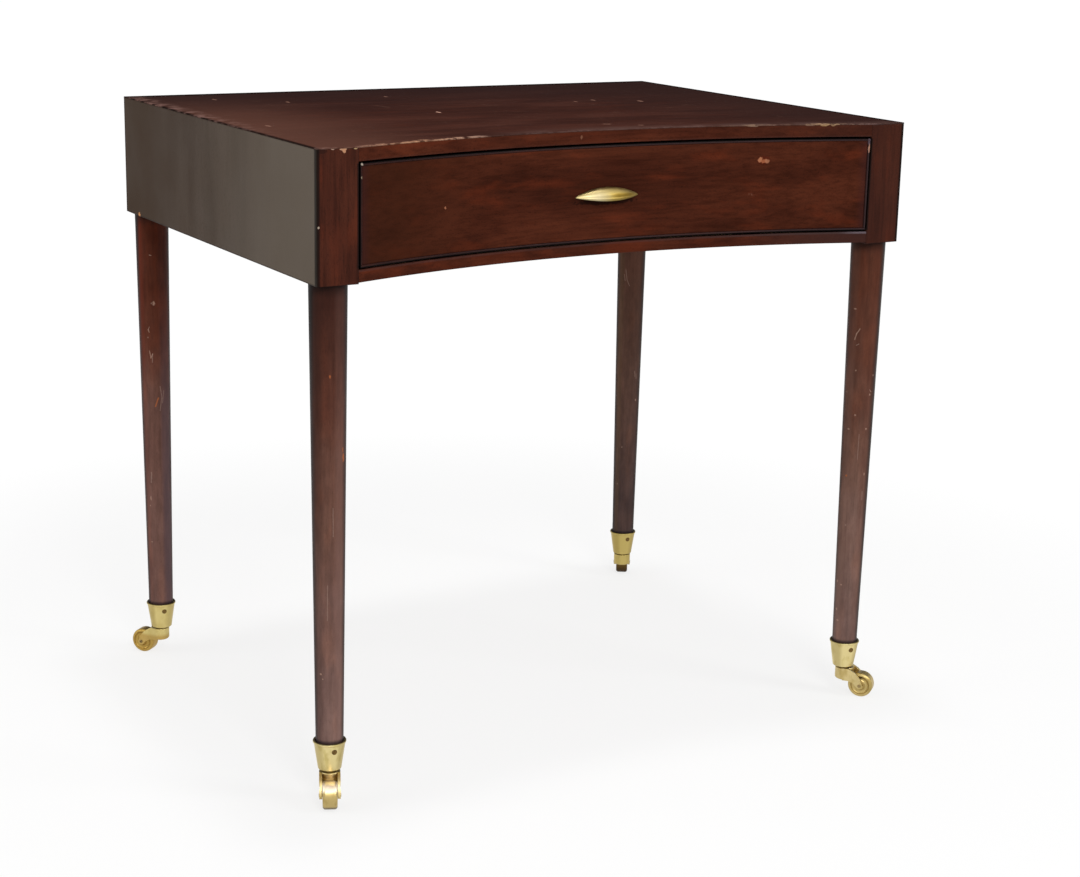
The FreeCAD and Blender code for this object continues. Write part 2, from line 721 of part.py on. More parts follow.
def make_fork():
    """A round block on the pin with two curved horns that hold the axle."""
    radius = fork_width / 2
    centre_x = radius - fork_back_reach
    bend = fork_corner * (1 - math.sqrt(0.5))
    at = [
        vec(0, 0, fork_z0),
        vec(radius - fork_corner, 0, fork_z0),
        vec(radius - bend, 0, fork_z0 + bend),
        vec(radius, 0, fork_z0 + fork_corner),
        vec(radius, 0, fork_z1 - fork_top_ease),
        vec(radius - fork_top_ease, 0, fork_z1),
        vec(0, 0, fork_z1),
    ]
    edges = [line(at[0], at[1]), arc(at[1], at[2], at[3])]
    edges += [line(at[i], at[(i + 1) % len(at)]) for i in range(3, len(at))]
    body = turned(edges)
    body.translate(vec(centre_x, 0, 0))
    boss = rod(fork_boss_diameter / 2, vec(0, 0, fork_z1 - overrun), vec(0, 0, fork_z1 + fork_boss_height))
    fork = body.multiFuse([fork_arm(-1), fork_arm(1), boss])
    gap = wheel_width / 2 + fork_wheel_gap
    wheel_space = rod(wheel_diameter / 2 + fork_slot_clearance,
                      vec(trail, -gap, axle_z), vec(trail, gap, axle_z))
    bore = rod(pin_diameter / 2 + running_clearance, vec(0, 0, fork_z0 - overrun),
               vec(0, 0, fork_z1 + fork_boss_height + overrun))
    sink = rod(pin_head_diameter / 2 + running_clearance, vec(0, 0, fork_z0 - overrun),
               vec(0, 0, fork_z0 + pin_head_height + running_clearance))
    axle_hole = rod(axle_diameter / 2, vec(trail, -fork_width, axle_z), vec(trail, fork_width, axle_z))
    for cutter in (wheel_space, bore, sink, axle_hole, fork_waist(-1), fork_waist(1)):
        fork = fork.cut(cutter)
    return one(fork)


def make_wheel():
    """A brass wheel with a crowned tread, a raised rim, a dished face and a hub."""
    half = wheel_width / 2
    rim = wheel_diameter / 2
    shoulder_x = half - wheel_shoulder
    bend = 1 - math.sqrt(0.5)
    shoulder_mid = vec(rim - wheel_crown * bend, 0, half - wheel_shoulder * bend)
    dish = wheel_dish_outer_diameter / 2
    hub = wheel_hub_diameter / 2
    bore = axle_diameter / 2 + running_clearance
    floor = half - wheel_dish_depth
    top = [
        vec(rim, 0, shoulder_x),
        vec(rim - wheel_crown, 0, half),
        vec(dish, 0, half),
        vec((dish + hub) / 2, 0, floor),
        vec(hub, 0, half),
        vec(bore, 0, half),
    ]
    low = [vec(p.x, 0, -p.z) for p in top]
    low_mid = vec(shoulder_mid.x, 0, -shoulder_mid.z)
    edges = [
        arc(top[0], shoulder_mid, top[1]),
        line(top[1], top[2]),
        arc(top[2], top[3], top[4]),
        line(top[4], top[5]),
        line(top[5], low[5]),
        line(low[5], low[4]),
        arc(low[4], low[3], low[2]),
        line(low[2], low[1]),
        arc(low[1], low_mid, low[0]),
        line(low[0], top[0]),
    ]
    wheel = turned(edges)
    wheel.rotate(vec(0, 0, 0), vec(1, 0, 0), 90)
    wheel.translate(vec(trail, 0, axle_z))
    return wheel


def make_axle():
    """The axle, pressed into both horns, with a screw slot in one end."""
    reach = fork_width / 2 + axle_proud
    axle = rod(axle_diameter / 2, vec(trail, -reach, axle_z), vec(trail, reach, axle_z))
    slot_half = axle_diameter * slot_share / 2
    slot = block(trail - axle_diameter, trail + axle_diameter, reach - axle_proud * 2, reach + overrun,
                 axle_z - slot_half, axle_z + slot_half)
    slot.rotate(vec(trail, 0, axle_z), vec(0, 1, 0), cup_screw_slot_angle)
    return axle.cut(slot)


def cup_screw_and_hole():
    """The slotted screw through the wall of the cup into the leg, along +X before it is turned."""
    z = rim_z - cup_screw_drop
    wall_z0 = cup_z0 + cup_foot_round
    wall_share = (z - wall_z0) / (rim_z - cup_lip_height - wall_z0)
    face = (cup_bottom_diameter + (cup_top_diameter - cup_bottom_diameter) * wall_share) / 2
    seat = face - cup_screw_head_depth
    head_end = face + cup_screw_proud
    shank = rod(cup_screw_diameter / 2, vec(seat - cup_screw_length, 0, z), vec(seat, 0, z))
    head = rod(cup_screw_head_diameter / 2, vec(seat, 0, z), vec(head_end, 0, z))
    hole = rod(cup_screw_head_diameter / 2, vec(seat, 0, z), vec(head_end + overrun, 0, z)).fuse(shank)
    slot_half = cup_screw_head_diameter * slot_share / 2
    floor = head_end - (cup_screw_head_depth + cup_screw_proud) * slot_depth_share
    slot = block(floor, head_end + overrun, -cup_screw_head_diameter, cup_screw_head_diameter,
                 z - slot_half, z + slot_half)
    slot.rotate(vec(0, 0, z), vec(1, 0, 0), cup_screw_slot_angle)
    return one(head.fuse(shank)).cut(slot), hole


cup_shape = make_cup()
screw_shape, screw_hole = cup_screw_and_hole()
caster_shapes = {
    "caster_pin": make_pin(),
    "caster_fork": make_fork(),
    "caster_wheel": make_wheel(),
    "caster_axle": make_axle(),
}
cup_screws = []
for name, (sx, sy) in corners.items():
    foot = vec(sx * leg_x, sy * leg_y, 0)
    cup = cup_shape.copy()
    cup.translate(foot)
    hole = screw_hole.copy()
    hole.rotate(vec(0, 0, 0), vec(0, 0, 1), cup_screw_angle)
    hole.translate(foot)
    screw = screw_shape.copy()
    screw.rotate(vec(0, 0, 0), vec(0, 0, 1), cup_screw_angle)
    screw.translate(foot)
    parts["caster_cup_" + name] = cup.cut(hole)
    parts["leg_" + name] = parts["leg_" + name].cut(hole)
    cup_screws.append(screw)
    for kind, shape in caster_shapes.items():
        placed = shape.copy()
        placed.rotate(vec(0, 0, 0), vec(0, 0, 1), fork_angles[name])
        placed.translate(foot)
        parts[kind + "_" + name] = placed
parts["cup_screws"] = Part.makeCompound(cup_screws)

os.makedirs("parts", exist_ok=True)
for name, shape in parts.items():
    shape.exportStep("parts/" + name + ".step")
    print(name, len(shape.Solids), shape.isValid(), round(shape.Volume / 1000, 2))
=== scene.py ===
import math

import bpy
from mathutils import Matrix, Vector


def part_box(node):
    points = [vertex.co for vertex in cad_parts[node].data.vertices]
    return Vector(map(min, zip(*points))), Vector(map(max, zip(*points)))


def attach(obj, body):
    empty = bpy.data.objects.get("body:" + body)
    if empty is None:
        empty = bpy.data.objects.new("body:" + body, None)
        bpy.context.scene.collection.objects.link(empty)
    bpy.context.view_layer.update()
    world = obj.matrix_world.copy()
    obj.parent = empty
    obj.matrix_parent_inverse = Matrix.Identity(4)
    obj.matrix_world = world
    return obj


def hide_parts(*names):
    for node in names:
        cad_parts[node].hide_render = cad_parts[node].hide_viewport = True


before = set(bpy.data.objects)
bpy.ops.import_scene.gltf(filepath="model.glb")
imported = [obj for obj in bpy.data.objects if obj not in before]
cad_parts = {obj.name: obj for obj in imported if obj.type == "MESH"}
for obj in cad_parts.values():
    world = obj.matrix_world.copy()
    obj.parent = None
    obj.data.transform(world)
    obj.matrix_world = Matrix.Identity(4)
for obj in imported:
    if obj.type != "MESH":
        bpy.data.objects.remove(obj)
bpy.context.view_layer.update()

# Writing table with a hollow front. Metres, Z up, +X to the sitter's right, +Y to the back.

MM = 0.001

# The photograph's camera, fitted to the corners, legs and wheels
PHOTO_WIDTH_PX = 1080
FOCAL_PX = 2124.6
CAMERA_AIM = Vector((24.8, -57.4, 327.1)) * MM
CAMERA_DISTANCE = 2673.1 * MM
CAMERA_AZIMUTH = math.radians(-30.495)
CAMERA_HEIGHT_ANGLE = math.radians(14.472)
CAMERA_ROLL = math.radians(1.261)
SENSOR_WIDTH_MM = 36.0

# Places read from the frame
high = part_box("top_veneer")[1]
TOP_Z = high.z
HALF_WIDTH = high.x
HALF_DEPTH = high.y
CASE_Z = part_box("side_panel_left")[0].z
CASE_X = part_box("side_panel_right")[1].x
RIM_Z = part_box("caster_cup_front_left")[1].z
BEAD_HIGH_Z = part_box("cock_bead_top")[1].z
BEAD_LOW_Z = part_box("cock_bead_bottom")[0].z
BEAD_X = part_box("cock_bead_right")[1].x
RAIL_LOW_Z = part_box("front_rail_bottom")[1].z
RAIL_HIGH_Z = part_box("front_rail_top")[0].z
RAIL_TENON = 16.0 * MM
POST_X = -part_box("front_rail_top")[0].x - RAIL_TENON

# The hollow front, and the legs round their own axes
HOLLOW_DIP = 53.2 * MM
HOLLOW_RADIUS = (POST_X ** 2 + HOLLOW_DIP ** 2) / (2 * HOLLOW_DIP)
HOLLOW_CENTRE_Y = -HALF_DEPTH + HOLLOW_DIP - HOLLOW_RADIUS
LEG_X = 362.1 * MM
LEG_Y = 265.9 * MM
LEG_TOP_DIAMETER = 42.0 * MM
LEG_RIM_DIAMETER = 31.2 * MM
CORNERS = ("front_left", "front_right", "back_left", "back_right")
SIDES = ("left", "right")


def front_y(x):
    """The front of the case at x: straight at the posts, hollow between them."""
    if abs(x) > POST_X:
        return -HALF_DEPTH
    return HOLLOW_CENTRE_Y + math.sqrt(HOLLOW_RADIUS ** 2 - x ** 2)


# Small helpers for node trees

class Tree:
    """Adds nodes to a node tree and links them, with few words."""

    def __init__(self, tree):
        self.tree = tree

    def add(self, kind, **settings):
        node = self.tree.nodes.new(kind)
        for key, value in settings.items():
            setattr(node, key, value)
        return node

    def put(self, socket, value):
        """Links a socket, or sets a plain value."""
        if isinstance(value, bpy.types.NodeSocket):
            self.tree.links.new(value, socket)
        elif value is not None:
            socket.default_value = value

    def math(self, operation, a, b=None, clamp=False):
        node = self.add("ShaderNodeMath", operation=operation, use_clamp=clamp)
        self.put(node.inputs[0], a)
        self.put(node.inputs[1], b)
        return node.outputs[0]

    def fold(self, operation, values):
        total = values[0]
        for value in values[1:]:
            total = self.math(operation, total, value)
        return total

    def times(self, *values):
        return self.fold("MULTIPLY", values)

    def plus(self, *values):
        return self.fold("ADD", values)

    def most(self, *values):
        """The greatest of the values."""
        return self.fold("MAXIMUM", values)

    def minus(self, a, b):
        return self.math("SUBTRACT", a, b)

    def size(self, value):
        """The value without its sign."""
        return self.math("ABSOLUTE", value)

    def apart(self, a, b):
        """How far apart two values are."""
        return self.size(self.minus(a, b))

    def above(self, value, limit):
        return self.math("GREATER_THAN", value, limit)

    def below(self, value, limit):
        return self.math("LESS_THAN", value, limit)

    def vector(self, operation, a, b=None):
        node = self.add("ShaderNodeVectorMath", operation=operation)
        self.put(node.inputs[0], a)
        self.put(node.inputs[1], b)
        name = "Value" if operation in ("LENGTH", "DOT_PRODUCT", "DISTANCE") else "Vector"
        return node.outputs[name]

    def noise(self, vector, scale, detail=2.0, roughness=0.5, distortion=0.0):
        node = self.add("ShaderNodeTexNoise")
        for name, value in (("Vector", vector), ("Scale", scale), ("Detail", detail),
                            ("Roughness", roughness), ("Distortion", distortion)):
            self.put(node.inputs[name], value)
        return node.outputs["Fac"]

    def spread(self, value, low_in, high_in, low_out=0.0, high_out=1.0, smooth=True):
        """Maps a value from one range to another, clamped."""
        node = self.add("ShaderNodeMapRange", interpolation_type="SMOOTHSTEP" if smooth else "LINEAR")
        for socket, number in zip(node.inputs, (value, low_in, high_in, low_out, high_out)):
            self.put(socket, number)
        return node.outputs[0]

    def near(self, value, edge, far, close, share=1.0):
        """Rises from 0 to the share as a value goes from far to close, both in millimetres from an edge."""
        return self.spread(value, edge + far * MM, edge + close * MM, 0.0, share)

    def blend(self, share, first, second, mode="MIX"):
        """Mixes two colours by a share."""
        node = self.add("ShaderNodeMix", data_type="RGBA", blend_type=mode)
        self.put(node.inputs[0], share)
        self.put(node.inputs[6], first)
        self.put(node.inputs[7], second)
        return node.outputs[2]

    def use(self, group, **values):
        """Places a node group and fills its inputs by name, with spaces for underscores."""
        node = self.add("ShaderNodeGroup", node_tree=group)
        for key, value in values.items():
            self.put(node.inputs[key.replace("_", " ")], value)
        return node.outputs

    def relief(self, shader, height, strength, distance, normal=None):
        """Gives a shader fine relief."""
        node = self.add("ShaderNodeBump")
        node.inputs["Strength"].default_value = strength
        node.inputs["Distance"].default_value = distance
        self.put(node.inputs["Height"], height)
        self.put(node.inputs["Normal"], normal)
        self.put(shader.inputs["Normal"], node.outputs[0])

    def split(self, vector):
        node = self.add("ShaderNodeSeparateXYZ")
        self.put(node.inputs[0], vector)
        return node.outputs

    def join(self, x, y, z):
        node = self.add("ShaderNodeCombineXYZ")
        for socket, value in zip(node.inputs, (x, y, z)):
            self.put(socket, value)
        return node.outputs[0]

    def even(self, value):
        """A vector or a grey with one value in all three places."""
        return self.join(value, value, value)

    def sway(self, amount, vector, *noise):
        """An uneven amount about zero."""
        return self.times(self.minus(self.noise(vector, *noise), 0.5), amount)


def new_group(name, inputs, outputs):
    """A shader node group with named sockets: its Tree, its inputs and its outputs. An input that starts at a
    plain number takes a value, and any other takes a vector."""
    group = bpy.data.node_groups.new(name, "ShaderNodeTree")
    kinds = {"value": "NodeSocketFloat", "vector": "NodeSocketVector"}
    for label, default in inputs.items():
        kind = "value" if isinstance(default, float) else "vector"
        socket = group.interface.new_socket(label, in_out="INPUT", socket_type=kinds[kind])
        if default is not None:
            socket.default_value = default
    for label, kind in outputs.items():
        group.interface.new_socket(label, in_out="OUTPUT", socket_type=kinds[kind])
    tree = Tree(group)
    given = tree.add("NodeGroupInput").outputs
    wanted = tree.add("NodeGroupOutput").inputs
    return group, tree, given, wanted


def colour(red, green, blue, share=1.0):
    """A colour on the eye's scale of 0 to 255, as a shader's linear value, and how much it covers."""
    def linear(c):
        c = c / 255
        return c / 12.92 if c <= 0.04045 else ((c + 0.055) / 1.055) ** 2.4
    return (linear(red), linear(green), linear(blue), share)


# Effects that several finishes share

def make_figure_group():
    """Wood figure: cloudy patches, streaks along the grain and open pores, stretched along one axis."""
    group, t, given, wanted = new_group(
        "Wood figure",
        {"Vector": None, "Squeeze": (0.25, 1.0, 1.0), "Seed": 0.0,
         "Cloud scale": 22.0, "Streak scale": 260.0, "Pore scale": 1100.0},
        {"Cloud": "value", "Streak": "value", "Pore": "value", "Flame": "value"})
    squeezed = t.vector("MULTIPLY", given["Vector"], given["Squeeze"])
    shifted = t.vector("ADD", squeezed, t.even(given["Seed"]))
    cloud = t.noise(shifted, given["Cloud scale"], 5.0, 0.52, 0.2)
    drawn = t.vector("ADD", t.vector("MULTIPLY", squeezed, given["Squeeze"]), t.even(given["Seed"]))
    streak = t.noise(drawn, given["Streak scale"], 4.0, 0.6, 0.15)
    flame = t.noise(shifted, t.times(given["Cloud scale"], 2.3), 3.0, 0.5, 0.2)
    pore = t.noise(shifted, given["Pore scale"], 2.0, 0.5)
    t.put(wanted["Cloud"], t.spread(cloud, 0.3, 0.7))
    t.put(wanted["Streak"], t.spread(streak, 0.32, 0.68))
    t.put(wanted["Pore"], t.spread(pore, 0.56, 0.68))
    t.put(wanted["Flame"], t.spread(flame, 0.5, 0.72))
    return group


def make_arris_group():
    """How near a point is to a sharp edge: 1 on the edge, 0 further off than the reach."""
    group, t, given, wanted = new_group(
        "Arris", {"Reach": 2 * MM}, {"Edge": "value", "Normal": "vector"})
    rounded = t.add("ShaderNodeBevel", samples=6)
    t.put(rounded.inputs["Radius"], given["Reach"])
    true_normal = t.add("ShaderNodeNewGeometry").outputs["Normal"]
    turn = t.vector("DOT_PRODUCT", rounded.outputs[0], true_normal)
    t.put(wanted["Edge"], t.spread(turn, 0.995, 0.8))
    t.put(wanted["Normal"], rounded.outputs[0])
    return group


def make_chip_group():
    """One placed chip or bruise: 1 inside an uneven patch about a point, 0 outside it."""
    group, t, given, wanted = new_group(
        "Chip", {"Vector": None, "Place": None, "Half size": (0.002, 0.002, 0.002), "Ragged": 0.0},
        {"Mask": "value"})
    offset = t.vector("SUBTRACT", given["Vector"], given["Place"])
    reach = t.vector("LENGTH", t.vector("DIVIDE", offset, given["Half size"]))
    t.put(wanted["Mask"], t.spread(t.plus(reach, given["Ragged"]), 1.1, 0.8))
    return group


def make_score_group():
    """One drawn scratch: 1 along an uneven line from a point, 0 off it."""
    group, t, given, wanted = new_group(
        "Drawn scratch",
        {"Vector": None, "Start": None, "Run": (0.0, 0.0, 0.01), "Half width": 0.6 * MM, "Ragged": 0.0},
        {"Mask": "value"})
    offset = t.vector("SUBTRACT", given["Vector"], given["Start"])
    length_squared = t.vector("DOT_PRODUCT", given["Run"], given["Run"])
    share = t.math("DIVIDE", t.vector("DOT_PRODUCT", offset, given["Run"]), length_squared, clamp=True)
    nearest = t.vector("MULTIPLY", given["Run"], t.even(share))
    off = t.math("DIVIDE", t.vector("DISTANCE", offset, nearest), given["Half width"])
    t.put(wanted["Mask"], t.spread(t.plus(off, given["Ragged"]), 1.1, 0.7))
    return group


def make_scratch_group():
    """Fine broken scratches, drawn out along one axis and gathered in patches."""
    group, t, given, wanted = new_group(
        "Scratches",
        {"Vector": None, "Squeeze": (1.0, 1.0, 0.12), "Scale": 50.0, "Width": 0.02, "Share": 0.3,
         "Seed": 0.0},
        {"Mask": "value"})
    shifted = t.vector("ADD", t.vector("MULTIPLY", given["Vector"], given["Squeeze"]), t.even(given["Seed"]))
    wander = t.noise(shifted, t.times(given["Scale"], 0.7), 3.0)
    bent = t.vector("ADD", shifted, t.vector("MULTIPLY", t.even(wander), (0.01, 0.01, 0.01)))
    cells = t.add("ShaderNodeTexVoronoi", feature="DISTANCE_TO_EDGE")
    t.put(cells.inputs["Vector"], bent)
    t.put(cells.inputs["Scale"], given["Scale"])
    line = t.spread(cells.outputs["Distance"], given["Width"], t.times(given["Width"], 0.3))
    patch = t.noise(given["Vector"], 21.0, 3.0)
    few = t.minus(0.72, t.times(given["Share"], 0.35))
    chosen = t.spread(t.minus(patch, few), 0.0, 0.05)
    broken = t.spread(t.noise(given["Vector"], 380.0, 3.0, 0.6), 0.44, 0.56)
    t.put(wanted["Mask"], t.times(t.times(line, chosen), broken))
    return group


def make_speck_group():
    """Scattered small pale nicks, a few to the hand's breadth."""
    group, t, given, wanted = new_group(
        "Specks", {"Vector": None, "Scale": 22.0, "Share": 0.3, "Size": 0.02, "Seed": 0.0}, {"Mask": "value"})
    shifted = t.vector("ADD", given["Vector"], t.even(given["Seed"]))
    ragged = t.vector("MULTIPLY", t.join(t.noise(shifted, 700.0, 2.0), t.noise(shifted, 730.0, 2.0),
                                         t.noise(shifted, 760.0, 2.0)), (0.0012, 0.0012, 0.0012))
    cells = t.add("ShaderNodeTexVoronoi", feature="F1")
    t.put(cells.inputs["Vector"], t.vector("ADD", shifted, ragged))
    t.put(cells.inputs["Scale"], given["Scale"])
    draws = t.split(cells.outputs["Color"])
    radius = t.times(given["Size"], t.plus(t.times(draws[1], 1.2), 0.4))
    dot = t.below(cells.outputs["Distance"], radius)
    chosen = t.below(draws[0], given["Share"])
    t.put(wanted["Mask"], t.times(dot, chosen))
    return group


def make_front_edge_group():
    """Distance back from the front outline of the top, which is straight at the posts and hollow between."""
    group, t, given, wanted = new_group("Front outline", {"Vector": None},
                                        {"Behind": "value", "Along": "value", "Height": "value"})
    x, y, z = t.split(given["Vector"])
    flat = t.join(x, t.minus(y, HOLLOW_CENTRE_Y), 0.0)
    hollow = t.minus(t.vector("LENGTH", flat), HOLLOW_RADIUS)
    straight = t.plus(y, HALF_DEPTH)
    at_post = t.above(t.size(x), POST_X)
    t.put(wanted["Behind"], t.plus(t.times(at_post, straight), t.times(t.minus(1.0, at_post), hollow)))
    t.put(wanted["Along"], x)
    t.put(wanted["Height"], z)
    return group


def make_facing_group():
    """How nearly a point on a leg or caster faces a direction from the leg's axis: 0 beyond the reach."""
    group, t, given, wanted = new_group(
        "Facing", {"Vector": None, "Degrees": 0.0, "Reach": 30.0}, {"Mask": "value"})
    x, y = t.split(given["Vector"])[:2]
    local_x = t.minus(x, t.times(t.math("SIGN", x), LEG_X))
    local_y = t.minus(y, t.times(t.math("SIGN", y), LEG_Y))
    flat = t.vector("NORMALIZE", t.join(local_x, local_y, 0.0))
    turn = t.math("RADIANS", given["Degrees"])
    towards = t.join(t.math("COSINE", turn), t.math("SINE", turn), 0.0)
    edge = t.math("COSINE", t.math("RADIANS", given["Reach"]))
    t.put(wanted["Mask"], t.spread(t.vector("DOT_PRODUCT", flat, towards), edge, 1.0))
    return group


FIGURE = make_figure_group()
ARRIS = make_arris_group()
CHIP = make_chip_group()
SCORE = make_score_group()
SPECKS = make_speck_group()
SCRATCHES = make_scratch_group()
FRONT_OUTLINE = make_front_edge_group()
FACING = make_facing_group()


# Finishes

GRAIN_RELIEF = 0.08 * MM
TIMBER_RELIEF = 0.15 * MM
BRASS_RELIEF = 0.03 * MM


def new_material(name):
    """An empty material: its Tree, its Principled shader and the point on the table in metres."""
    material = bpy.data.materials.new(name)
    material.use_nodes = True
    t = Tree(material.node_tree)
    shader = material.node_tree.nodes["Principled BSDF"]
    place = t.add("ShaderNodeTexCoord").outputs["Object"]
    return material, t, shader, place


def ramp(t, share, stops):
    node = t.add("ShaderNodeValToRGB")
    t.put(node.inputs[0], share)
    elements = node.color_ramp.elements
    while len(elements) < len(stops):
        elements.new(0.5)
    for element, (position, value) in zip(elements, stops):
        element.position = position
        element.color = value
    return node.outputs["Color"]


DRAWER_TONES = (colour(56, 25, 15), colour(67, 31, 19), colour(77, 37, 23))
RAIL_TONES = (colour(60, 27, 17), colour(71, 33, 21), colour(80, 39, 25))
STILE_TONES = (colour(58, 26, 17), colour(66, 31, 20), colour(74, 36, 24))
# The beads are darker than the drawer front: painted shade of the gap beside them.
BEAD_TONES = (colour(38, 20, 19), colour(44, 25, 23), colour(52, 30, 26))
TOP_TONES = (colour(53, 29, 24), colour(60, 33, 27), colour(67, 38, 31))
# The side's tones are greyer than its mahogany: painted sheen of the polish.
SIDE_SHEEN_TONES = (colour(70, 58, 49), colour(75, 63, 54), colour(80, 68, 59))
FLAME_RED = colour(104, 44, 24)
# The black of the polish, in its pores, and as painted shade along edges and under parts
SHADE_AND_POLISH_BLACK = colour(14, 7, 6)
PALE_RUB = colour(150, 112, 96)

ALONG_X = (0.25, 1.0, 1.0)
ALONG_Z = (1.0, 1.0, 0.25)
ALONG_Y = (1.0, 0.25, 1.0)


def mahogany(name, squeeze, seed, tones, rough=0.42, gloss=0.02, flame=0.3, specks=0.0, scratches=0.0,
             chips=(), scores=(), edge_shade=0.6, reach=1.6 * MM, tone_and_shading=None, wear_and_sheen=None, streaks=0.14,
             worn_share=0.6, **scales):
    """French-polished mahogany. A chip is (place, half size, colour), and a score is (start, run, half width,
    colour), in metres. The last number of such a colour is how much of the polish it covers."""
    material, t, shader, place = new_material(name)
    figure = t.use(FIGURE, Vector=place, Squeeze=squeeze, Seed=seed, **scales)
    base = ramp(t, figure["Cloud"], ((0.05, tones[0]), (0.5, tones[1]), (0.95, tones[2])))
    low = 1.0 - streaks
    high = 1.0 + streaks * 0.6
    grain = ramp(t, figure["Streak"], ((0.0, (low, low * 0.97, low * 0.95, 1)), (0.5, (1, 1, 1, 1)),
                                       (1.0, (high, high * 0.99, high * 0.97, 1))))
    base = t.blend(1.0, base, grain, "MULTIPLY")
    base = t.blend(t.times(figure["Flame"], flame), base, FLAME_RED)
    base = t.blend(t.times(figure["Pore"], 0.3), base, SHADE_AND_POLISH_BLACK)
    # The finish's own tones, with the painted light and shade that it is given
    if tone_and_shading is not None:
        base = tone_and_shading(t, place, base)
    arris = t.use(ARRIS, Reach=reach)
    # Painted shade: the polish is darkened along sharp edges and into corners.
    base = t.blend(t.times(arris["Edge"], edge_shade), base, SHADE_AND_POLISH_BLACK)
    marked = []
    if specks:
        marked.append(t.use(SPECKS, Vector=place, Share=specks, Seed=seed)["Mask"])
    if scratches:
        scored = t.use(SCRATCHES, Vector=place, Squeeze=squeeze, Share=scratches, Seed=seed)["Mask"]
        marked.append(t.times(scored, 0.7))
    for mask in marked:
        base = t.blend(t.times(mask, worn_share), base, PALE_RUB)
    if wear_and_sheen is not None:
        base, mask = wear_and_sheen(t, place, base)
        marked.append(mask)
    ragged = t.sway(2.4, place, 360.0, 5.0, 0.75) if chips else None
    marks = [(CHIP, {"Place": spot, "Half_size": half}, tint) for spot, half, tint in chips]
    marks += [(SCORE, {"Start": start, "Run": run, "Half_width": half}, tint)
              for start, run, half, tint in scores]
    for group, shape, tint in marks:
        mask = t.times(t.use(group, Vector=place, Ragged=ragged, **shape)["Mask"], tint[3])
        base = t.blend(mask, base, tint[:3] + (1.0,))
        marked.append(mask)
    t.put(shader.inputs["Base Color"], base)
    haze = t.noise(place, 9.0, 3.0)
    roughness = t.spread(haze, 0.3, 0.7, rough - 0.05, rough + 0.07)
    relief = t.minus(t.times(figure["Streak"], 0.35), figure["Pore"])
    # All marks, painted shade among them, roughen the polish and sink its relief
    if marked:
        any_mark = t.most(*marked)
        roughness = t.math("ADD", roughness, t.times(any_mark, 0.3), clamp=True)
        relief = t.minus(relief, t.times(any_mark, 4.0))
    t.put(shader.inputs["Roughness"], roughness)
    shader.inputs["Specular IOR Level"].default_value = gloss
    t.relief(shader, relief, 0.25, GRAIN_RELIEF, arris["Normal"])
    return material


def black(share):
    """Painted shade in the black of the polish, covering only a share of what is below it."""
    return SHADE_AND_POLISH_BLACK[:3] + (share,)


# How worn the front arris of the top is, and in which colour, from the left end (0) to the right end (1)
WEAR_STRENGTH = ((0.0, 0.75), (0.05, 0.4), (0.1, 0.75), (0.165, 1.0), (0.275, 0.95), (0.295, 0.2),
                 (0.33, 0.4), (0.42, 0.55), (0.56, 0.35), (0.68, 0.5), (0.728, 0.3), (0.742, 0.95),
                 (0.782, 0.8), (0.795, 0.25), (0.822, 0.3), (0.834, 0.85), (0.9, 0.95), (0.94, 0.5),
                 (0.965, 0.0))
WEAR_TINT = ((0.0, colour(132, 100, 92)), (0.165, colour(184, 138, 108)), (0.27, colour(166, 130, 112)),
             (0.34, colour(104, 80, 75)), (0.66, colour(104, 80, 72)), (0.748, colour(168, 138, 110)),
             (0.785, colour(150, 116, 102)), (0.87, colour(180, 146, 108)), (0.93, colour(130, 102, 98)))
WEAR_REACH = 12.0 * MM
WEAR_RAGGED = 3.0 * MM
RIM_RAGGED = 3.0 * MM


def top_wear_and_sheen(t, place, base):
    """The rubbed front arris of the top: pink at the left, grey in the middle, yellower at the right. A
    painted sheen lies on the top behind it, and the top is rubbed along its left edge too."""
    outline = t.use(FRONT_OUTLINE, Vector=place)
    along = t.spread(outline["Along"], -HALF_WIDTH, HALF_WIDTH, smooth=False)
    strength = ramp(t, along, [(spot, (level, level, level, 1.0)) for spot, level in WEAR_STRENGTH])
    width = t.times(strength, WEAR_REACH, t.spread(t.noise(place, 55.0, 4.0, 0.65), 0.36, 0.64))
    distance = t.plus(t.size(outline["Behind"]), t.sway(WEAR_RAGGED, place, 300.0, 3.0, 0.6))
    broken = t.spread(t.noise(place, 130.0, 3.0, 0.6), 0.36, 0.56, 0.25, 1.0)
    front = t.times(t.near(t.minus(distance, width), 0.0, 0.8, -3.2), strength, broken)
    base = t.blend(t.times(front, 0.85), base, ramp(t, along, WEAR_TINT))
    # Painted sheen: the top is lightened to grey-pink behind the rubbed arris.
    sheen_behind = t.times(t.near(outline["Behind"], 0.0, 34.0, 1.0), t.spread(along, 0.26, 0.42),
                     t.spread(t.noise(place, 26.0, 4.0, 0.6), 0.34, 0.62, 0.1, 0.42))
    base = t.blend(sheen_behind, base, colour(100, 76, 70))
    x, y = t.split(place)[:2]
    rubbed = t.times(t.near(x, -HALF_WIDTH, 30.0, 4.0), t.spread(y, -0.24, 0.1),
                     t.spread(t.noise(place, 64.0, 5.0, 0.65), 0.42, 0.62))
    base = t.blend(t.times(rubbed, 0.75), base, colour(128, 96, 88))
    return base, front


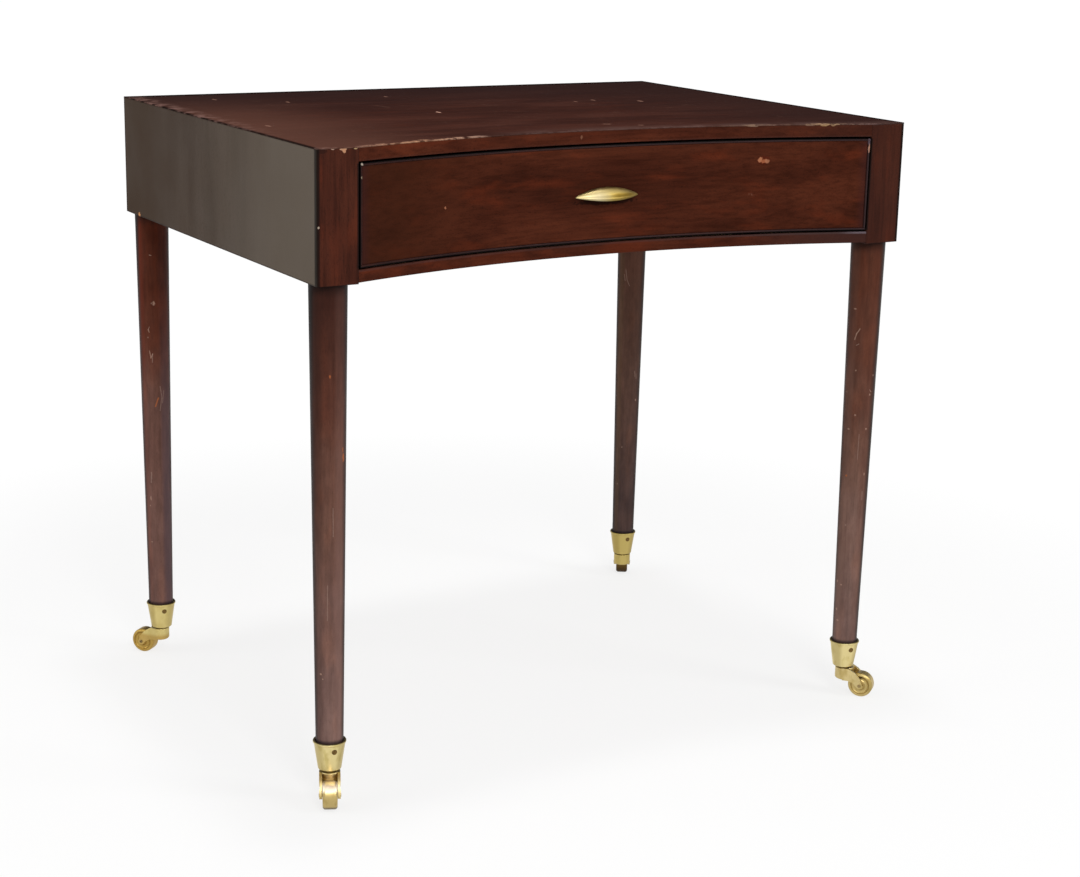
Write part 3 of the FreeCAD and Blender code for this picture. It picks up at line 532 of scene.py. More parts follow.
def top_sheen_and_shade(t, place, base):
    """Painted sheen makes the top a little pinker and paler to the left. It is darker towards the back and
    right, and painted shade darkens its back, right and left edges.
    """
    x, y = t.split(place)[:2]
    base = t.blend(t.spread(x, -0.17, -HALF_WIDTH, 0.0, 0.75), base, colour(88, 57, 47))
    base = t.blend(t.spread(y, -0.05, HALF_DEPTH, 0.0, 0.85), base, colour(40, 26, 25))
    base = t.blend(t.spread(x, 0.04, HALF_WIDTH, 0.0, 0.8), base, colour(43, 27, 25))
    ragged = t.times(t.noise(place, 30.0, 3.0), RIM_RAGGED)
    rim = t.most(t.near(t.plus(y, ragged), HALF_DEPTH, -22.0, -9.0),
                 t.near(t.plus(x, ragged), HALF_WIDTH, -11.0, -4.0), t.near(x, -HALF_WIDTH, 4.2, 2.2))
    return t.blend(t.times(rim, 0.85), base, SHADE_AND_POLISH_BLACK)


def side_sheen_and_shade(t, place, base):
    """Painted sheen: the side is brown at the back and pales to grey towards the front. Painted shade makes
    dark lines along its front, back and lower edges.
    """
    y, z = t.split(place)[1:3]
    drift = t.plus(y, t.sway(-0.06, t.vector("MULTIPLY", place, (1.0, 1.0, 0.3)), 13.0, 3.0))
    base = t.blend(t.spread(drift, 0.08, -0.26, 0.0, 0.85), base, colour(101, 91, 80))
    base = t.blend(t.spread(drift, 0.0, 0.22, 0.0, 0.95), base, colour(63, 48, 36))
    rim = t.most(t.near(y, -HALF_DEPTH, 7.0, 3.4), t.near(y, HALF_DEPTH, -4.0, -1.8),
                 t.near(z, CASE_Z, 2.4, 0.8, 0.5))
    return t.blend(t.times(rim, 0.85), base, SHADE_AND_POLISH_BLACK)


def bead_shade(t, place, base):
    """Painted shade and highlight: the beads are black where they go down into the gap, with a light line
    on their crest.
    """
    x, _, z = t.split(place)
    outside = t.most(t.minus(t.size(x), BEAD_X), t.minus(z, BEAD_HIGH_Z), t.minus(BEAD_LOW_Z, z))
    crest = t.times(t.near(outside, 0.0, -2.9, -2.0), t.spread(x, -0.34, 0.33, 0.1, 0.5))
    base = t.blend(crest, base, colour(66, 53, 55))
    return t.blend(t.near(outside, 0.0, -1.5, -0.8, 0.95), base, colour(6, 4, 4))


def drawer_shade(t, place, base):
    """The drawer front is darker towards its left end, and plum coloured beside the beads with painted shade
    from the gap.
    """
    x = t.split(place)[0]
    base = t.blend(t.spread(x, -0.14, -0.3, 0.0, 0.62), base, colour(47, 22, 11))
    return t.blend(t.near(t.size(x), BEAD_X, -16.0, -3.0, 0.45), base, colour(56, 30, 30))


def rail_shade(t, place, base):
    """The rails darken to the right. Painted highlights make a light line along their edges at the drawer,
    lightest at the right.
    """
    x, _, z = t.split(place)
    base = t.blend(t.spread(x, 0.12, 0.33, 0.0, 0.45), base, colour(54, 30, 24))
    below = t.times(t.spread(x, 0.16, 0.3, 0.0, 0.45), t.below(z, RAIL_LOW_Z))
    base = t.blend(below, base, colour(60, 42, 40))
    # Painted highlights along the rails' edges beside the drawer.
    low = t.near(t.apart(z, RAIL_LOW_Z), 0.0, 2.8, 1.4)
    high = t.near(t.apart(z, RAIL_HIGH_Z), 0.0, 1.8, 0.9, 0.35)
    share = t.times(t.most(low, high), t.spread(x, 0.0, 0.335, 0.3, 0.6))
    base = t.blend(share, base, colour(70, 56, 56))
    return t.blend(t.times(low, t.spread(x, 0.3, 0.33, 0.0, 0.6)), base, colour(116, 104, 112))


def leg_finish(corner, tones, bands, marks, strokes=(), post_marks=(), post_dark=0.0):
    """The polish of one leg: its post, and its taper in the tones from the case down to the foot, which are
    painted light: dark in the shade under the case and paler towards the foot.

    A band is (degrees, reach, share at the case, colour). It runs down the side that faces its degrees from
    +X, over its reach in degrees. Most bands are painted highlights and painted shade, a few are redder
    tones.
    A mark is (degrees, height, half width, half height, colour), and a stroke is (degrees and height of one
    end, and of the other, half width, colour), in millimetres."""
    def tone_and_shading(t, place, base):
        x, _, z = t.split(place)
        height = t.spread(t.plus(z, t.sway(0.2, place, 14.0, 3.0)), CASE_Z, RIM_Z, smooth=False)
        down = ramp(t, height, ((0.02, tones[0]), (0.28, tones[1]), (0.55, tones[2]), (0.95, tones[3])))
        texture = t.blend(0.55, t.blend(1.0, base, STILE_TONES[1], "DIVIDE"), (1, 1, 1, 1))
        taper = t.blend(1.0, down, texture, "MULTIPLY")
        blotch = t.noise(t.vector("MULTIPLY", place, (1.0, 1.0, 0.35)), 105.0, 5.0, 0.62)
        mottle = t.spread(blotch, 0.3, 0.7, 0.87, 1.13)
        taper = t.blend(1.0, taper, t.even(mottle), "MULTIPLY")
        # Painted highlights and shade down the sides of the leg, and a few redder tones.
        for degrees, reach, at_case, tint in bands:
            facing = t.use(FACING, Vector=place, Degrees=degrees, Reach=reach)["Mask"]
            share = t.times(facing, t.spread(height, 0.05, 0.7, at_case * tint[3], tint[3]))
            taper = t.blend(share, taper, tint[:3] + (1.0,))
        base = t.blend(post_dark, base, colour(52, 26, 19))
        base = t.blend(t.below(z, CASE_Z), base, taper)
        # Painted shadow at the top of the taper, under the case.
        under = t.times(t.below(z, CASE_Z), t.near(z, CASE_Z, -16.0, 0.0, 0.7))
        base = t.blend(under, base, SHADE_AND_POLISH_BLACK)
        base = t.blend(t.near(z, RIM_Z, 5.0, 1.2, 0.75), base, colour(40, 32, 36))
        # Painted shade: dark lines beside the drawer and along the sides of the case.
        beside_drawer = t.times(t.near(t.size(x), POST_X, 2.6, 0.8), t.below(z, BEAD_HIGH_Z),
                                t.above(z, BEAD_LOW_Z))
        edges = t.most(t.near(t.size(x), CASE_X, -3.6, -1.8), beside_drawer)
        return t.blend(t.times(edges, 0.85), base, SHADE_AND_POLISH_BLACK)

    chips = list(post_marks)
    for degrees, height, wide, tall, tint in marks:
        chips.append((on_leg(corner, degrees, height), (wide * MM, wide * MM, tall * MM), tint))
    scores = []
    for from_degrees, from_height, to_degrees, to_height, wide, tint in strokes:
        start = Vector(on_leg(corner, from_degrees, from_height))
        run = Vector(on_leg(corner, to_degrees, to_height)) - start
        scores.append((tuple(start), tuple(run), wide * MM, tint))
    seed = 2.4 + CORNERS.index(corner) * 3.7
    return mahogany("Leg polish " + corner.replace("_", " "), ALONG_Z, seed, STILE_TONES, rough=0.4,
                    gloss=0.06, flame=0.35, streaks=0.28, specks=0.2, worn_share=0.4, chips=chips,
                    scores=scores, tone_and_shading=tone_and_shading)


def on_leg(corner, degrees, height):
    """A place on the taper of a leg, at degrees from +X and a height in millimetres, as a point in metres."""
    low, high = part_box("caster_cup_" + corner)
    middle = (low + high) / 2
    share = (height * MM - RIM_Z) / (CASE_Z - RIM_Z)
    radius = (LEG_RIM_DIAMETER + (LEG_TOP_DIAMETER - LEG_RIM_DIAMETER) * share) / 2
    turn = math.radians(degrees)
    return (middle.x + radius * math.cos(turn), middle.y + radius * math.sin(turn), height * MM)


MARK_DEPTH = 3.0 * MM


def top_mark(x, y, wide, deep, tint):
    """A chip on the top, in millimetres."""
    return ((x * MM, y * MM, TOP_Z), (wide * MM, deep * MM, MARK_DEPTH), tint)


def front_mark(x, z, wide, tall, tint, deep=3.0, proud=0.0):
    """A chip on the front of the case or drawer, in millimetres, and how far proud of it the chip lies."""
    place = (x * MM, front_y(x * MM) - proud * MM, z * MM)
    return (place, (wide * MM, deep * MM, tall * MM), tint)


# Small rubs on the top: x, y, half width and half depth in millimetres, and how much of the polish they cover
TOP_RUBS = ((-72, 188, 1.6, 5, 0.8), (166, 66, 1.7, 5, 0.8), (133, 56, 1.4, 5, 0.7),
            (219, 36, 3, 6, 0.8), (-220, 161, 1.7, 6, 0.9), (-349, -80, 2, 7, 0.7),
            (-294, 218, 2, 7, 0.6), (29, -188, 6, 4, 0.3), (61, -211, 3.6, 4, 0.4))
TOP_FINISH = mahogany(
    "Top polish", ALONG_X, 3.1, TOP_TONES, rough=0.62, gloss=0.015, flame=0.1, scratches=0.35, tone_and_shading=top_sheen_and_shade,
    wear_and_sheen=top_wear_and_sheen, streaks=0.2, worn_share=0.35,
    chips=[top_mark(-97, -7, 2.2, 6, colour(205, 160, 140))]
    + [top_mark(x, y, wide, deep, PALE_RUB[:3] + (share,)) for x, y, wide, deep, share in TOP_RUBS])
SIDE_FINISH = mahogany(
    "Side polish", ALONG_Z, 7.7, SIDE_SHEEN_TONES, rough=0.5, gloss=0.03, flame=0.0, tone_and_shading=side_sheen_and_shade, streaks=0.03,
    chips=(((-HALF_WIDTH, 0.2437, CASE_Z + 0.002), (0.003, 0.0035, 0.003), colour(200, 140, 92)),))
RAIL_FINISH = mahogany(
    "Rail polish", ALONG_X, 1.9, RAIL_TONES, rough=0.4, specks=0.1, edge_shade=0.3, reach=1.0 * MM,
    tone_and_shading=rail_shade, streaks=0.2, flame=0.4,
    chips=(front_mark(-35.8, 726.5, 1.4, 2.4, colour(128, 88, 68, 0.6), 2),
           front_mark(190, 732.8, 8, 1, colour(150, 122, 104, 0.6)),
           front_mark(262, 732.8, 7, 0.9, colour(150, 122, 104, 0.5)),
           front_mark(279, 732.6, 5.2, 1.1, colour(176, 142, 100, 0.65)),
           front_mark(290, 732.6, 3, 1.1, colour(164, 132, 98, 0.6))))
DRAWER_FINISH = mahogany(
    "Drawer polish", ALONG_X, 5.3, DRAWER_TONES, rough=0.4, flame=0.4, specks=0.12, scratches=0.1,
    tone_and_shading=drawer_shade, streaks=0.22,
    # Painted shadow under the pull, in the black of the polish.
    chips=(front_mark(-1, 652, 40, 3.6, black(0.7), 20),
           front_mark(205, 692.2, 8.8, 5.2, colour(84, 22, 8, 0.4), 4),
           front_mark(200.6, 692.9, 2.6, 3, colour(172, 112, 80, 0.85), 4),
           front_mark(205.2, 691.3, 4, 2.2, colour(158, 92, 62, 0.8), 4),
           front_mark(209.4, 691.1, 3, 2.3, colour(160, 106, 78, 0.8), 4),
           front_mark(-219.5, 659.3, 1.2, 1.6, colour(160, 104, 76, 0.8), 2)))
BEAD_FINISH = mahogany(
    "Bead polish", ALONG_X, 8.8, BEAD_TONES, rough=0.34, gloss=0.04, edge_shade=0.1, flame=0.1,
    tone_and_shading=bead_shade,
    chips=(front_mark(-333.9, 715.5, 1.8, 1.8, colour(164, 152, 138), proud=1),
           front_mark(-334.1, 701.6, 1, 1.2, colour(150, 132, 112, 0.8), 2, 1),
           front_mark(334.8, 705.2, 1.3, 5.6, colour(164, 124, 104, 0.9), proud=1),
           # Painted highlight on the right bead near its top corner.
           front_mark(334.6, 713, 1.8, 4.2, colour(104, 88, 98, 0.5), proud=1)))
SCUFF = colour(172, 138, 120, 0.6)
PALE_LINE = colour(158, 130, 118, 0.45)
RUST = colour(170, 96, 56, 0.75)
# Each leg's four tones, from the case down to the foot, are painted light: dark under the case, paler to the
# foot. Its bands paint highlights and shade down its sides.
LEG_FINISHES = {
    "front_left": leg_finish(
        "front_left",
        (colour(56, 29, 22), colour(81, 48, 38), colour(104, 73, 62), colour(128, 100, 92)),
        ((-72, 28, 0.3, colour(132, 100, 92, 0.35)), (-172, 46, 1.6, colour(48, 26, 20, 0.4)),
         (-24, 44, 1, black(0.85)), (155, 46, 1, black(0.85))),
        ((-109, 491.5, 0.9, 2.2, RUST), (-58, 400, 1.5, 5.4, RUST), (-61, 410, 0.9, 3, RUST),
         (-149, 154.6, 1.3, 1.2, SCUFF), (-141, 149.1, 1, 0.9, SCUFF), (170, 303.3, 0.8, 2.4, PALE_LINE)),
        ((-100, 346, -99, 314, 0.5, PALE_LINE), (-120, 258, -121, 218, 0.5, PALE_LINE)),
        # Painted shade at the top left corner of the post.
        (front_mark(-379.5, 730.6, 6, 2.4, black(0.45)),
         front_mark(-367.6, 733, 2, 1.2, colour(170, 138, 120)),
         front_mark(-355.6, 732.2, 4.2, 1.7, colour(180, 136, 108)),
         front_mark(-354.2, 730.4, 2, 2.6, colour(178, 130, 98)),
         front_mark(-341.4, 732.9, 2.2, 1.6, colour(168, 140, 102)),
         front_mark(-383.7, 652, 1, 1.3, colour(170, 152, 134), 2))),
    "front_right": leg_finish(
        "front_right",
        (colour(80, 44, 31), colour(90, 55, 43), colour(105, 76, 65), colour(124, 98, 90)),
        ((-168, 22, 0.5, colour(128, 98, 86, 0.2)), (-84, 30, 1, colour(96, 50, 36, 0.2)),
         (-39, 50, 1, black(0.9)), (141, 38, 1, black(0.6))),
        ((-162, 506.2, 2, 1.1, SCUFF), (-147, 429.5, 1.1, 1.2, SCUFF), (-75, 423, 1.1, 1.3, SCUFF),
         (-86, 398.8, 1.3, 1.5, SCUFF), (177, 400.4, 0.9, 2, PALE_LINE), (-140, 372.8, 1.3, 1.3, SCUFF),
         (-164, 353.9, 1.5, 1.1, SCUFF), (-93, 355.2, 1.2, 1.2, SCUFF), (-163, 293.7, 1.4, 1.6, RUST),
         (-87, 296.6, 1.2, 1.6, SCUFF), (-154, 229.3, 1.1, 1.1, PALE_LINE), (177, 152.9, 1.1, 1.7, SCUFF),
         (-160, 149.7, 1.5, 1.1, SCUFF), (-179, 115.7, 1.3, 1.9, SCUFF), (-170, 101.4, 1.8, 1.6, SCUFF)),
        ((-140, 482, -152, 475, 0.7, SCUFF), (-152, 475, -158, 468, 0.7, SCUFF),
         (-150, 461, -141, 463, 0.6, PALE_LINE), (-91, 274, -90, 263, 0.5, PALE_LINE),
         (-120, 348, -121, 316, 0.4, PALE_LINE), (-88, 405, -80, 402, 0.5, SCUFF)),
        post_dark=0.4),
    "back_left": leg_finish(
        "back_left",
        (colour(72, 31, 16), colour(84, 46, 34), colour(102, 71, 62), colour(114, 84, 76)),
        ((178, 42, 3, colour(108, 36, 12, 0.18)), (-62, 38, 0.1, colour(88, 74, 82, 0.6)),
         (160, 42, 1, black(0.85)), (-20, 36, 1, black(0.6))),
        ((-110, 476.4, 1.6, 2.8, SCUFF), (-119, 476.8, 0.8, 1.2, PALE_LINE),
         (-136, 432.4, 0.9, 1, PALE_LINE), (-145, 217.9, 1.1, 2.6, SCUFF), (-149, 208.1, 1, 1.1, SCUFF),
         (-146, 158.6, 1.2, 1, SCUFF)),
        ((-122, 539, -116, 538.4, 0.6, SCUFF), (-131, 415, -126, 405.5, 0.6, SCUFF),
         (-126, 405.5, -119, 411, 0.6, SCUFF), (-119, 411, -121, 400, 0.5, PALE_LINE),
         (-129, 446, -134, 442.5, 0.6, PALE_LINE), (-134, 442.5, -130, 439, 0.6, SCUFF),
         (-93, 368, -86, 352, 0.6, PALE_LINE), (-88, 352, -95, 336, 0.6, PALE_LINE),
         (-78, 362, -84, 346, 0.5, PALE_LINE), (-113, 342, -101, 353, 0.9, RUST),
         (-138, 253, -140, 240, 0.9, PALE_LINE))),
    "back_right": leg_finish(
        "back_right",
        (colour(75, 46, 36), colour(86, 60, 50), colour(97, 71, 61), colour(74, 58, 55)),
        ((-168, 22, 1, colour(96, 74, 50, 0.3)), (-33, 50, 1.3, black(0.7)),
         (147, 44, 1, black(0.85))),
        ((-78, 276, 1.1, 1.6, SCUFF), (-141, 205, 1.1, 1.3, PALE_LINE),
         (-163, 147.8, 1, 1.5, PALE_LINE)),
        ((-146, 470, -139, 454, 0.5, PALE_LINE), (-139, 454, -128, 446, 0.5, PALE_LINE),
         (-152, 462, -148, 453, 0.5, PALE_LINE), (-90, 320, -88, 311, 0.7, PALE_LINE),
         (-82, 315, -80, 308, 0.6, PALE_LINE)))}
BACK_FINISH = mahogany("Back polish", ALONG_X, 12.5, SIDE_SHEEN_TONES, rough=0.5, flame=0.1, scratches=0.4,
                       gloss=0.2)


PINE_TONES = (colour(162, 118, 75), colour(178, 134, 88), colour(189, 146, 99))
OAK_TONES = (colour(147, 110, 71), colour(160, 122, 80), colour(170, 132, 89))
TIMBER_LINE = colour(104, 72, 44)
TIMBER_PORE = colour(84, 56, 34)


def bare_timber(name, squeeze, seed, tones):
    """Planed wood without polish, inside the table. It is stained where it shows at the back."""
    material, t, shader, place = new_material(name)
    figure = t.use(FIGURE, Vector=place, Squeeze=squeeze, Seed=seed, Cloud_scale=26.0)
    base = ramp(t, figure["Cloud"], ((0.0, tones[0]), (0.5, tones[1]), (1.0, tones[2])))
    base = t.blend(t.spread(figure["Streak"], 0.45, 1.0, 0.0, 0.42), base, TIMBER_LINE)
    base = t.blend(t.times(figure["Pore"], 0.35), base, TIMBER_PORE)
    base = t.blend(t.near(t.split(place)[1], HALF_DEPTH, -2.0, -1.0, 0.9), base, SIDE_SHEEN_TONES[0])
    t.put(shader.inputs["Base Color"], base)
    t.put(shader.inputs["Roughness"], t.spread(figure["Cloud"], 0.0, 1.0, 0.62, 0.75))
    shader.inputs["Specular IOR Level"].default_value = 0.3
    t.relief(shader, t.minus(figure["Streak"], figure["Pore"]), 0.3, TIMBER_RELIEF)
    return material


# Darker bands of painted reflection down the casters, as degrees from +X and reach in degrees, and the tones
# of the back casters
CASTER_BANDS = ((-165, 34), (-52, 40), (30, 40), (115, 30))
DEEP_BRASS = (colour(193, 172, 103), colour(230, 212, 146))
# The painted highlight on the front left wheel, and the pull's tones with their painted highlights and
# reflections, from its left tip (0) to its right tip (1)
SHINE_Z = 29.5 * MM
PULL_HALF_LENGTH = 44.5 * MM
PULL_DARK_BAND_Z = 660.2 * MM
PULL_TONES = ((0.0, colour(161, 147, 104)), (0.32, colour(183, 171, 136)), (0.5, colour(146, 126, 68)),
              (0.72, colour(129, 105, 40)), (1.0, colour(158, 136, 78)))


def brass(name, tone, dark, rough, seed, darkening=None, dark_tone=colour(58, 46, 26), deep=None, tone_and_light=None, bands=0.0):
    """Aged brass with a soft upright sheen and darker hollows. darkening marks where it takes the dark tone,
    deep holds the tones of the back casters, and bands is the share of the upright bands of painted
    reflection round each caster."""
    material, t, shader, place = new_material(name)
    moved = t.vector("ADD", place, (seed, seed, seed))
    cloud = t.noise(t.vector("MULTIPLY", moved, (1.0, 1.0, 0.45)), 120.0, 3.0, 0.55)
    fine = t.noise(t.vector("MULTIPLY", place, (1.0, 1.0, 0.3)), 900.0, 2.0)
    base = ramp(t, cloud, ((0.32, dark), (0.5, tone), (0.8, tone)))
    roughness = t.spread(cloud, 0.25, 0.75, rough + 0.08, rough - 0.04)
    if deep is not None:
        x, y = t.split(place)[:2]
        back = t.blend(t.above(x, 0.0), t.blend(cloud, deep[0], deep[1]), deep[0])
        base = t.blend(t.above(y, 0.0), base, back)
    if tone_and_light is not None:
        base = tone_and_light(t, place, base)
    if bands:
        # Painted reflection: darker upright bands round each caster.
        for degrees, reach in CASTER_BANDS:
            facing = t.use(FACING, Vector=place, Degrees=degrees, Reach=reach)["Mask"]
            base = t.blend(t.times(facing, bands), base, colour(134, 112, 54))
    if darkening is not None:
        mask = darkening(t, place)
        base = t.blend(mask, base, dark_tone)
        roughness = t.plus(roughness, t.times(mask, 0.2))
    t.put(shader.inputs["Base Color"], base)
    shader.inputs["Metallic"].default_value = 1.0
    t.put(shader.inputs["Roughness"], roughness)
    t.relief(shader, fine, 0.08, BRASS_RELIEF, t.use(ARRIS, Reach=0.6 * MM)["Normal"])
    return material


def cup_lip_dark(t, place):
    """Darkens the lip of a cup, and the gap below it."""
    z = t.split(place)[2]
    return t.most(t.near(z, RIM_Z, -1.1, -0.2, 0.8), t.near(z, RIM_Z, -33.0, -34.0, 0.6))


def wheel_painted_shade(t, place):
    """Painted shade: the back right wheel is brown towards its lower part."""
    x, y, z = t.split(place)
    return t.times(t.above(x, 0.0), t.above(y, 0.0), t.spread(z, 18.0 * MM, 4.0 * MM, 0.7, 0.95))


def arm_tone(t, place, base):
    """The back left fork is browner on its horns, and painted shade darkens the front left fork between its
    horns.
    """
    x, y, z = t.split(place)
    left = t.below(x, 0.0)
    horn = t.times(t.near(z, 0.0, 30.0, 24.0, 0.8), left, t.above(y, 0.0))
    base = t.blend(horn, base, colour(182, 148, 80))
    # Painted shade between the horns of the front left fork.
    throat = t.times(t.near(z, 0.0, 29.0, 31.5), t.near(z, 0.0, 36.4, 35.0, 0.45), left, t.below(y, 0.0))
    return t.blend(throat, base, colour(110, 72, 40))


def wheel_highlight_and_shadow(t, place, base):
    """Painted highlight and shadow: the front left wheel has a bright line on its tread, and is dark where it
    meets the floor.
    """
    x, y, z = t.split(place)
    chosen = t.times(t.below(x, 0.0), t.below(y, 0.0))
    bright = t.times(chosen, t.near(t.apart(z, SHINE_Z), 0.0, 7.0, 2.5, 0.9))
    base = t.blend(bright, base, colour(252, 234, 208))
    return t.blend(t.times(chosen, t.near(z, 0.0, 8.0, 4.5, 0.75)), base, colour(84, 76, 66))


def pull_seat_shade(t, place):
    """Painted shade: the pull is black where it meets the drawer."""
    return t.near(t.split(place)[1], HOLLOW_CENTRE_Y + HOLLOW_RADIUS, -1.8, -0.9, 0.9)


def pull_highlights(t, place, base):
    """Painted highlights and reflections: the pull is pale left of its middle and on its upward faces, with a
    dark olive band right of it.
    """
    x, _, z = t.split(place)
    along = t.spread(x, -PULL_HALF_LENGTH, PULL_HALF_LENGTH, smooth=False)
    # Painted highlight left of the middle, and darker reflection to the right.
    base = t.blend(0.85, base, ramp(t, along, PULL_TONES))
    # Painted reflection: a dark olive band right of the middle.
    hollow = t.times(t.near(t.apart(z, PULL_DARK_BAND_Z), 0.0, 3.4, 0.8, 0.7), t.near(x, 0.0, -4.0, 8.0),
                     t.near(x, 0.0, 36.0, 26.0))
    base = t.blend(hollow, base, colour(112, 88, 24))
    # Painted highlight on the faces that turn upward.
    upward = t.split(t.add("ShaderNodeNewGeometry").outputs["Normal"])[2]
    return t.blend(t.spread(upward, 0.35, 0.8, 0.0, 0.6), base, colour(202, 180, 118))


PULL_BRASS = brass("Pull brass", colour(192, 170, 106), colour(168, 146, 76), 0.42, 1.0, darkening=pull_seat_shade,
                   tone_and_light=pull_highlights)
CUP_BRASS = brass("Cup brass", colour(227, 210, 150), colour(206, 188, 122), 0.36, 2.0, darkening=cup_lip_dark,
                  deep=DEEP_BRASS, bands=0.4)
FORK_BRASS = brass("Fork brass", colour(214, 194, 138), colour(192, 170, 110), 0.38, 2.5, deep=DEEP_BRASS,
                   tone_and_light=arm_tone, bands=0.2)
WHEEL_BRASS = brass("Wheel brass", colour(192, 170, 112), colour(168, 146, 88), 0.42, 3.0, darkening=wheel_painted_shade,
                    dark_tone=colour(60, 42, 26), deep=(colour(164, 132, 66), colour(192, 162, 88)),
                    tone_and_light=wheel_highlight_and_shadow)
SCREW_BRASS = brass("Screw brass", colour(120, 96, 56), colour(70, 52, 34), 0.4, 4.0)
PIN_IRON = brass("Worn pin", colour(150, 128, 88), colour(110, 92, 62), 0.36, 5.0)
DARK_IRON = brass("Dark iron", colour(74, 66, 60), colour(46, 40, 36), 0.5, 6.0)


def paint(nodes, material):
    """Gives CAD pieces their finish, in their own material slots."""
    for name in nodes:
        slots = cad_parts[name].data.materials
        slots.clear()
        slots.append(material)


paint(["top_veneer"], TOP_FINISH)
paint(["side_veneer_" + side for side in SIDES], SIDE_FINISH)
paint(["back_panel"], BACK_FINISH)
paint(["front_rail_top", "front_rail_bottom"], RAIL_FINISH)
paint(["drawer_front"], DRAWER_FINISH)
paint(["cock_bead_" + end for end in ("top", "bottom", "left", "right")], BEAD_FINISH)
for corner in CORNERS:
    paint(["leg_" + corner], LEG_FINISHES[corner])
paint(["top_board", "drawer_stops", "glue_blocks"],
      bare_timber("Pine along the width", ALONG_X, 4.0, PINE_TONES))
paint([kind + side for kind in ("side_panel_", "drawer_runner_", "drawer_guide_", "drawer_kicker_")
       for side in SIDES], bare_timber("Pine along the depth", ALONG_Y, 6.0, PINE_TONES))
paint(["drawer_side_" + side for side in SIDES], bare_timber("Oak along the depth", ALONG_Y, 9.0, OAK_TONES))
paint(["drawer_back", "drawer_bottom"], bare_timber("Oak along the width", ALONG_X, 11.0, OAK_TONES))
paint(["drawer_pull", "pull_bolts"], PULL_BRASS)
paint(["caster_cup_" + corner for corner in CORNERS], CUP_BRASS)
paint(["caster_fork_" + corner for corner in CORNERS], FORK_BRASS)
paint(["caster_wheel_" + corner for corner in CORNERS], WHEEL_BRASS)
paint(["caster_%s_%s" % (kind, corner) for kind in ("pin", "axle") for corner in CORNERS], PIN_IRON)
paint(["cup_screws"], SCREW_BRASS)
paint(["runner_screws", "bottom_screws"], DARK_IRON)


def new_object(name, data):
    made = bpy.data.objects.new(name, data)
    bpy.context.scene.collection.objects.link(made)
    return made


def new_mesh(name, points, faces, material):
    mesh = bpy.data.meshes.new(name)
    mesh.from_pydata(points, [], faces)
    mesh.materials.append(material)
    return mesh


# The pull, a leaf of cast brass that swells from two points

PULL_HALF_HEIGHT = 7.6 * MM
PULL_RISE = 2.8 * MM
PULL_REACH = 14.0 * MM
PULL_SINK = 0.5 * MM
PULL_MIDDLE_Z = 658.2 * MM
PULL_OUTLINE = (((0, 1), (0.74, 0.55), (0.97, -0.42)), ((0.97, -0.42), (1.0, -0.7), (0.92, -0.93)),
                ((0.92, -0.93), (0.45, -0.62), (0, -1)))
PULL_STATIONS = 72
PULL_ARC_STEPS = 14
PULL_TIP_SHARE = 0.992


def arc_points(a, b, c, count):
    """Points from a up to c on the circle through three flat points."""
    (ax, ay), (bx, by), (cx, cy) = a, b, c
    d = 2 * (ax * (by - cy) + bx * (cy - ay) + cx * (ay - by))
    aa, bb, cc = ax * ax + ay * ay, bx * bx + by * by, cx * cx + cy * cy
    ux = (aa * (by - cy) + bb * (cy - ay) + cc * (ay - by)) / d
    uy = (aa * (cx - bx) + bb * (ax - cx) + cc * (bx - ax)) / d
    radius = math.hypot(ax - ux, ay - uy)
    start, middle, end = (math.atan2(y - uy, x - ux) for x, y in (a, b, c))
    turn = (end - start) % math.tau
    if (middle - start) % math.tau > turn:
        turn -= math.tau
    angles = [start + turn * i / count for i in range(count)]
    return [(ux + radius * math.cos(angle), uy + radius * math.sin(angle)) for angle in angles]


def make_pull():
    """The pull as a fine loft from tip to tip, seated on the drawer front."""
    rings = []
    for i in range(PULL_STATIONS + 1):
        share = PULL_TIP_SHARE * math.sin(math.pi * (i / PULL_STATIONS - 0.5))
        swell = 1 - share ** 2
        outline = []
        for a, b, c in PULL_OUTLINE:
            scaled = [(p[0] * PULL_REACH * swell, p[1] * PULL_HALF_HEIGHT * swell) for p in (a, b, c)]
            outline += arc_points(*scaled, PULL_ARC_STEPS)
        outline.append((0, -PULL_HALF_HEIGHT * swell))
        back = front_y(0) + PULL_SINK
        middle = PULL_MIDDLE_Z + PULL_RISE * swell
        rings.append([(share * PULL_HALF_LENGTH, back - out, middle + up) for out, up in outline])
    sides = len(rings[0])
    points = [point for ring in rings for point in ring]
    faces = []
    for i in range(PULL_STATIONS):
        for k in range(sides):
            n = (k + 1) % sides
            faces.append((i * sides + k, i * sides + n, (i + 1) * sides + n, (i + 1) * sides + k))
    faces.append(tuple(range(sides - 1, -1, -1)))
    faces.append(tuple(PULL_STATIONS * sides + k for k in range(sides)))
    mesh = new_mesh("Leaf pull", points, faces, PULL_BRASS)
    mesh.validate()
    mesh.polygons.foreach_set("use_smooth", [len(face.vertices) == 4 for face in mesh.polygons])
    pull = new_object("Leaf_pull", mesh)
    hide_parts("drawer_pull")
    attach(pull, "drawer")


make_pull()


# Studio

def new_sheet(name, corners, material):
    """One flat sheet of the studio, which isn't part of the table."""
    sheet = new_object(name, new_mesh(name, corners, [(0, 1, 2, 3)], material))
    return sheet


def mirror_rays(t):
    """1 for what the camera sees, also in a gloss or through glass."""
    seen = t.add("ShaderNodeLightPath").outputs
    return t.most(seen["Is Camera Ray"], seen["Is Glossy Ray"], seen["Is Transmission Ray"])


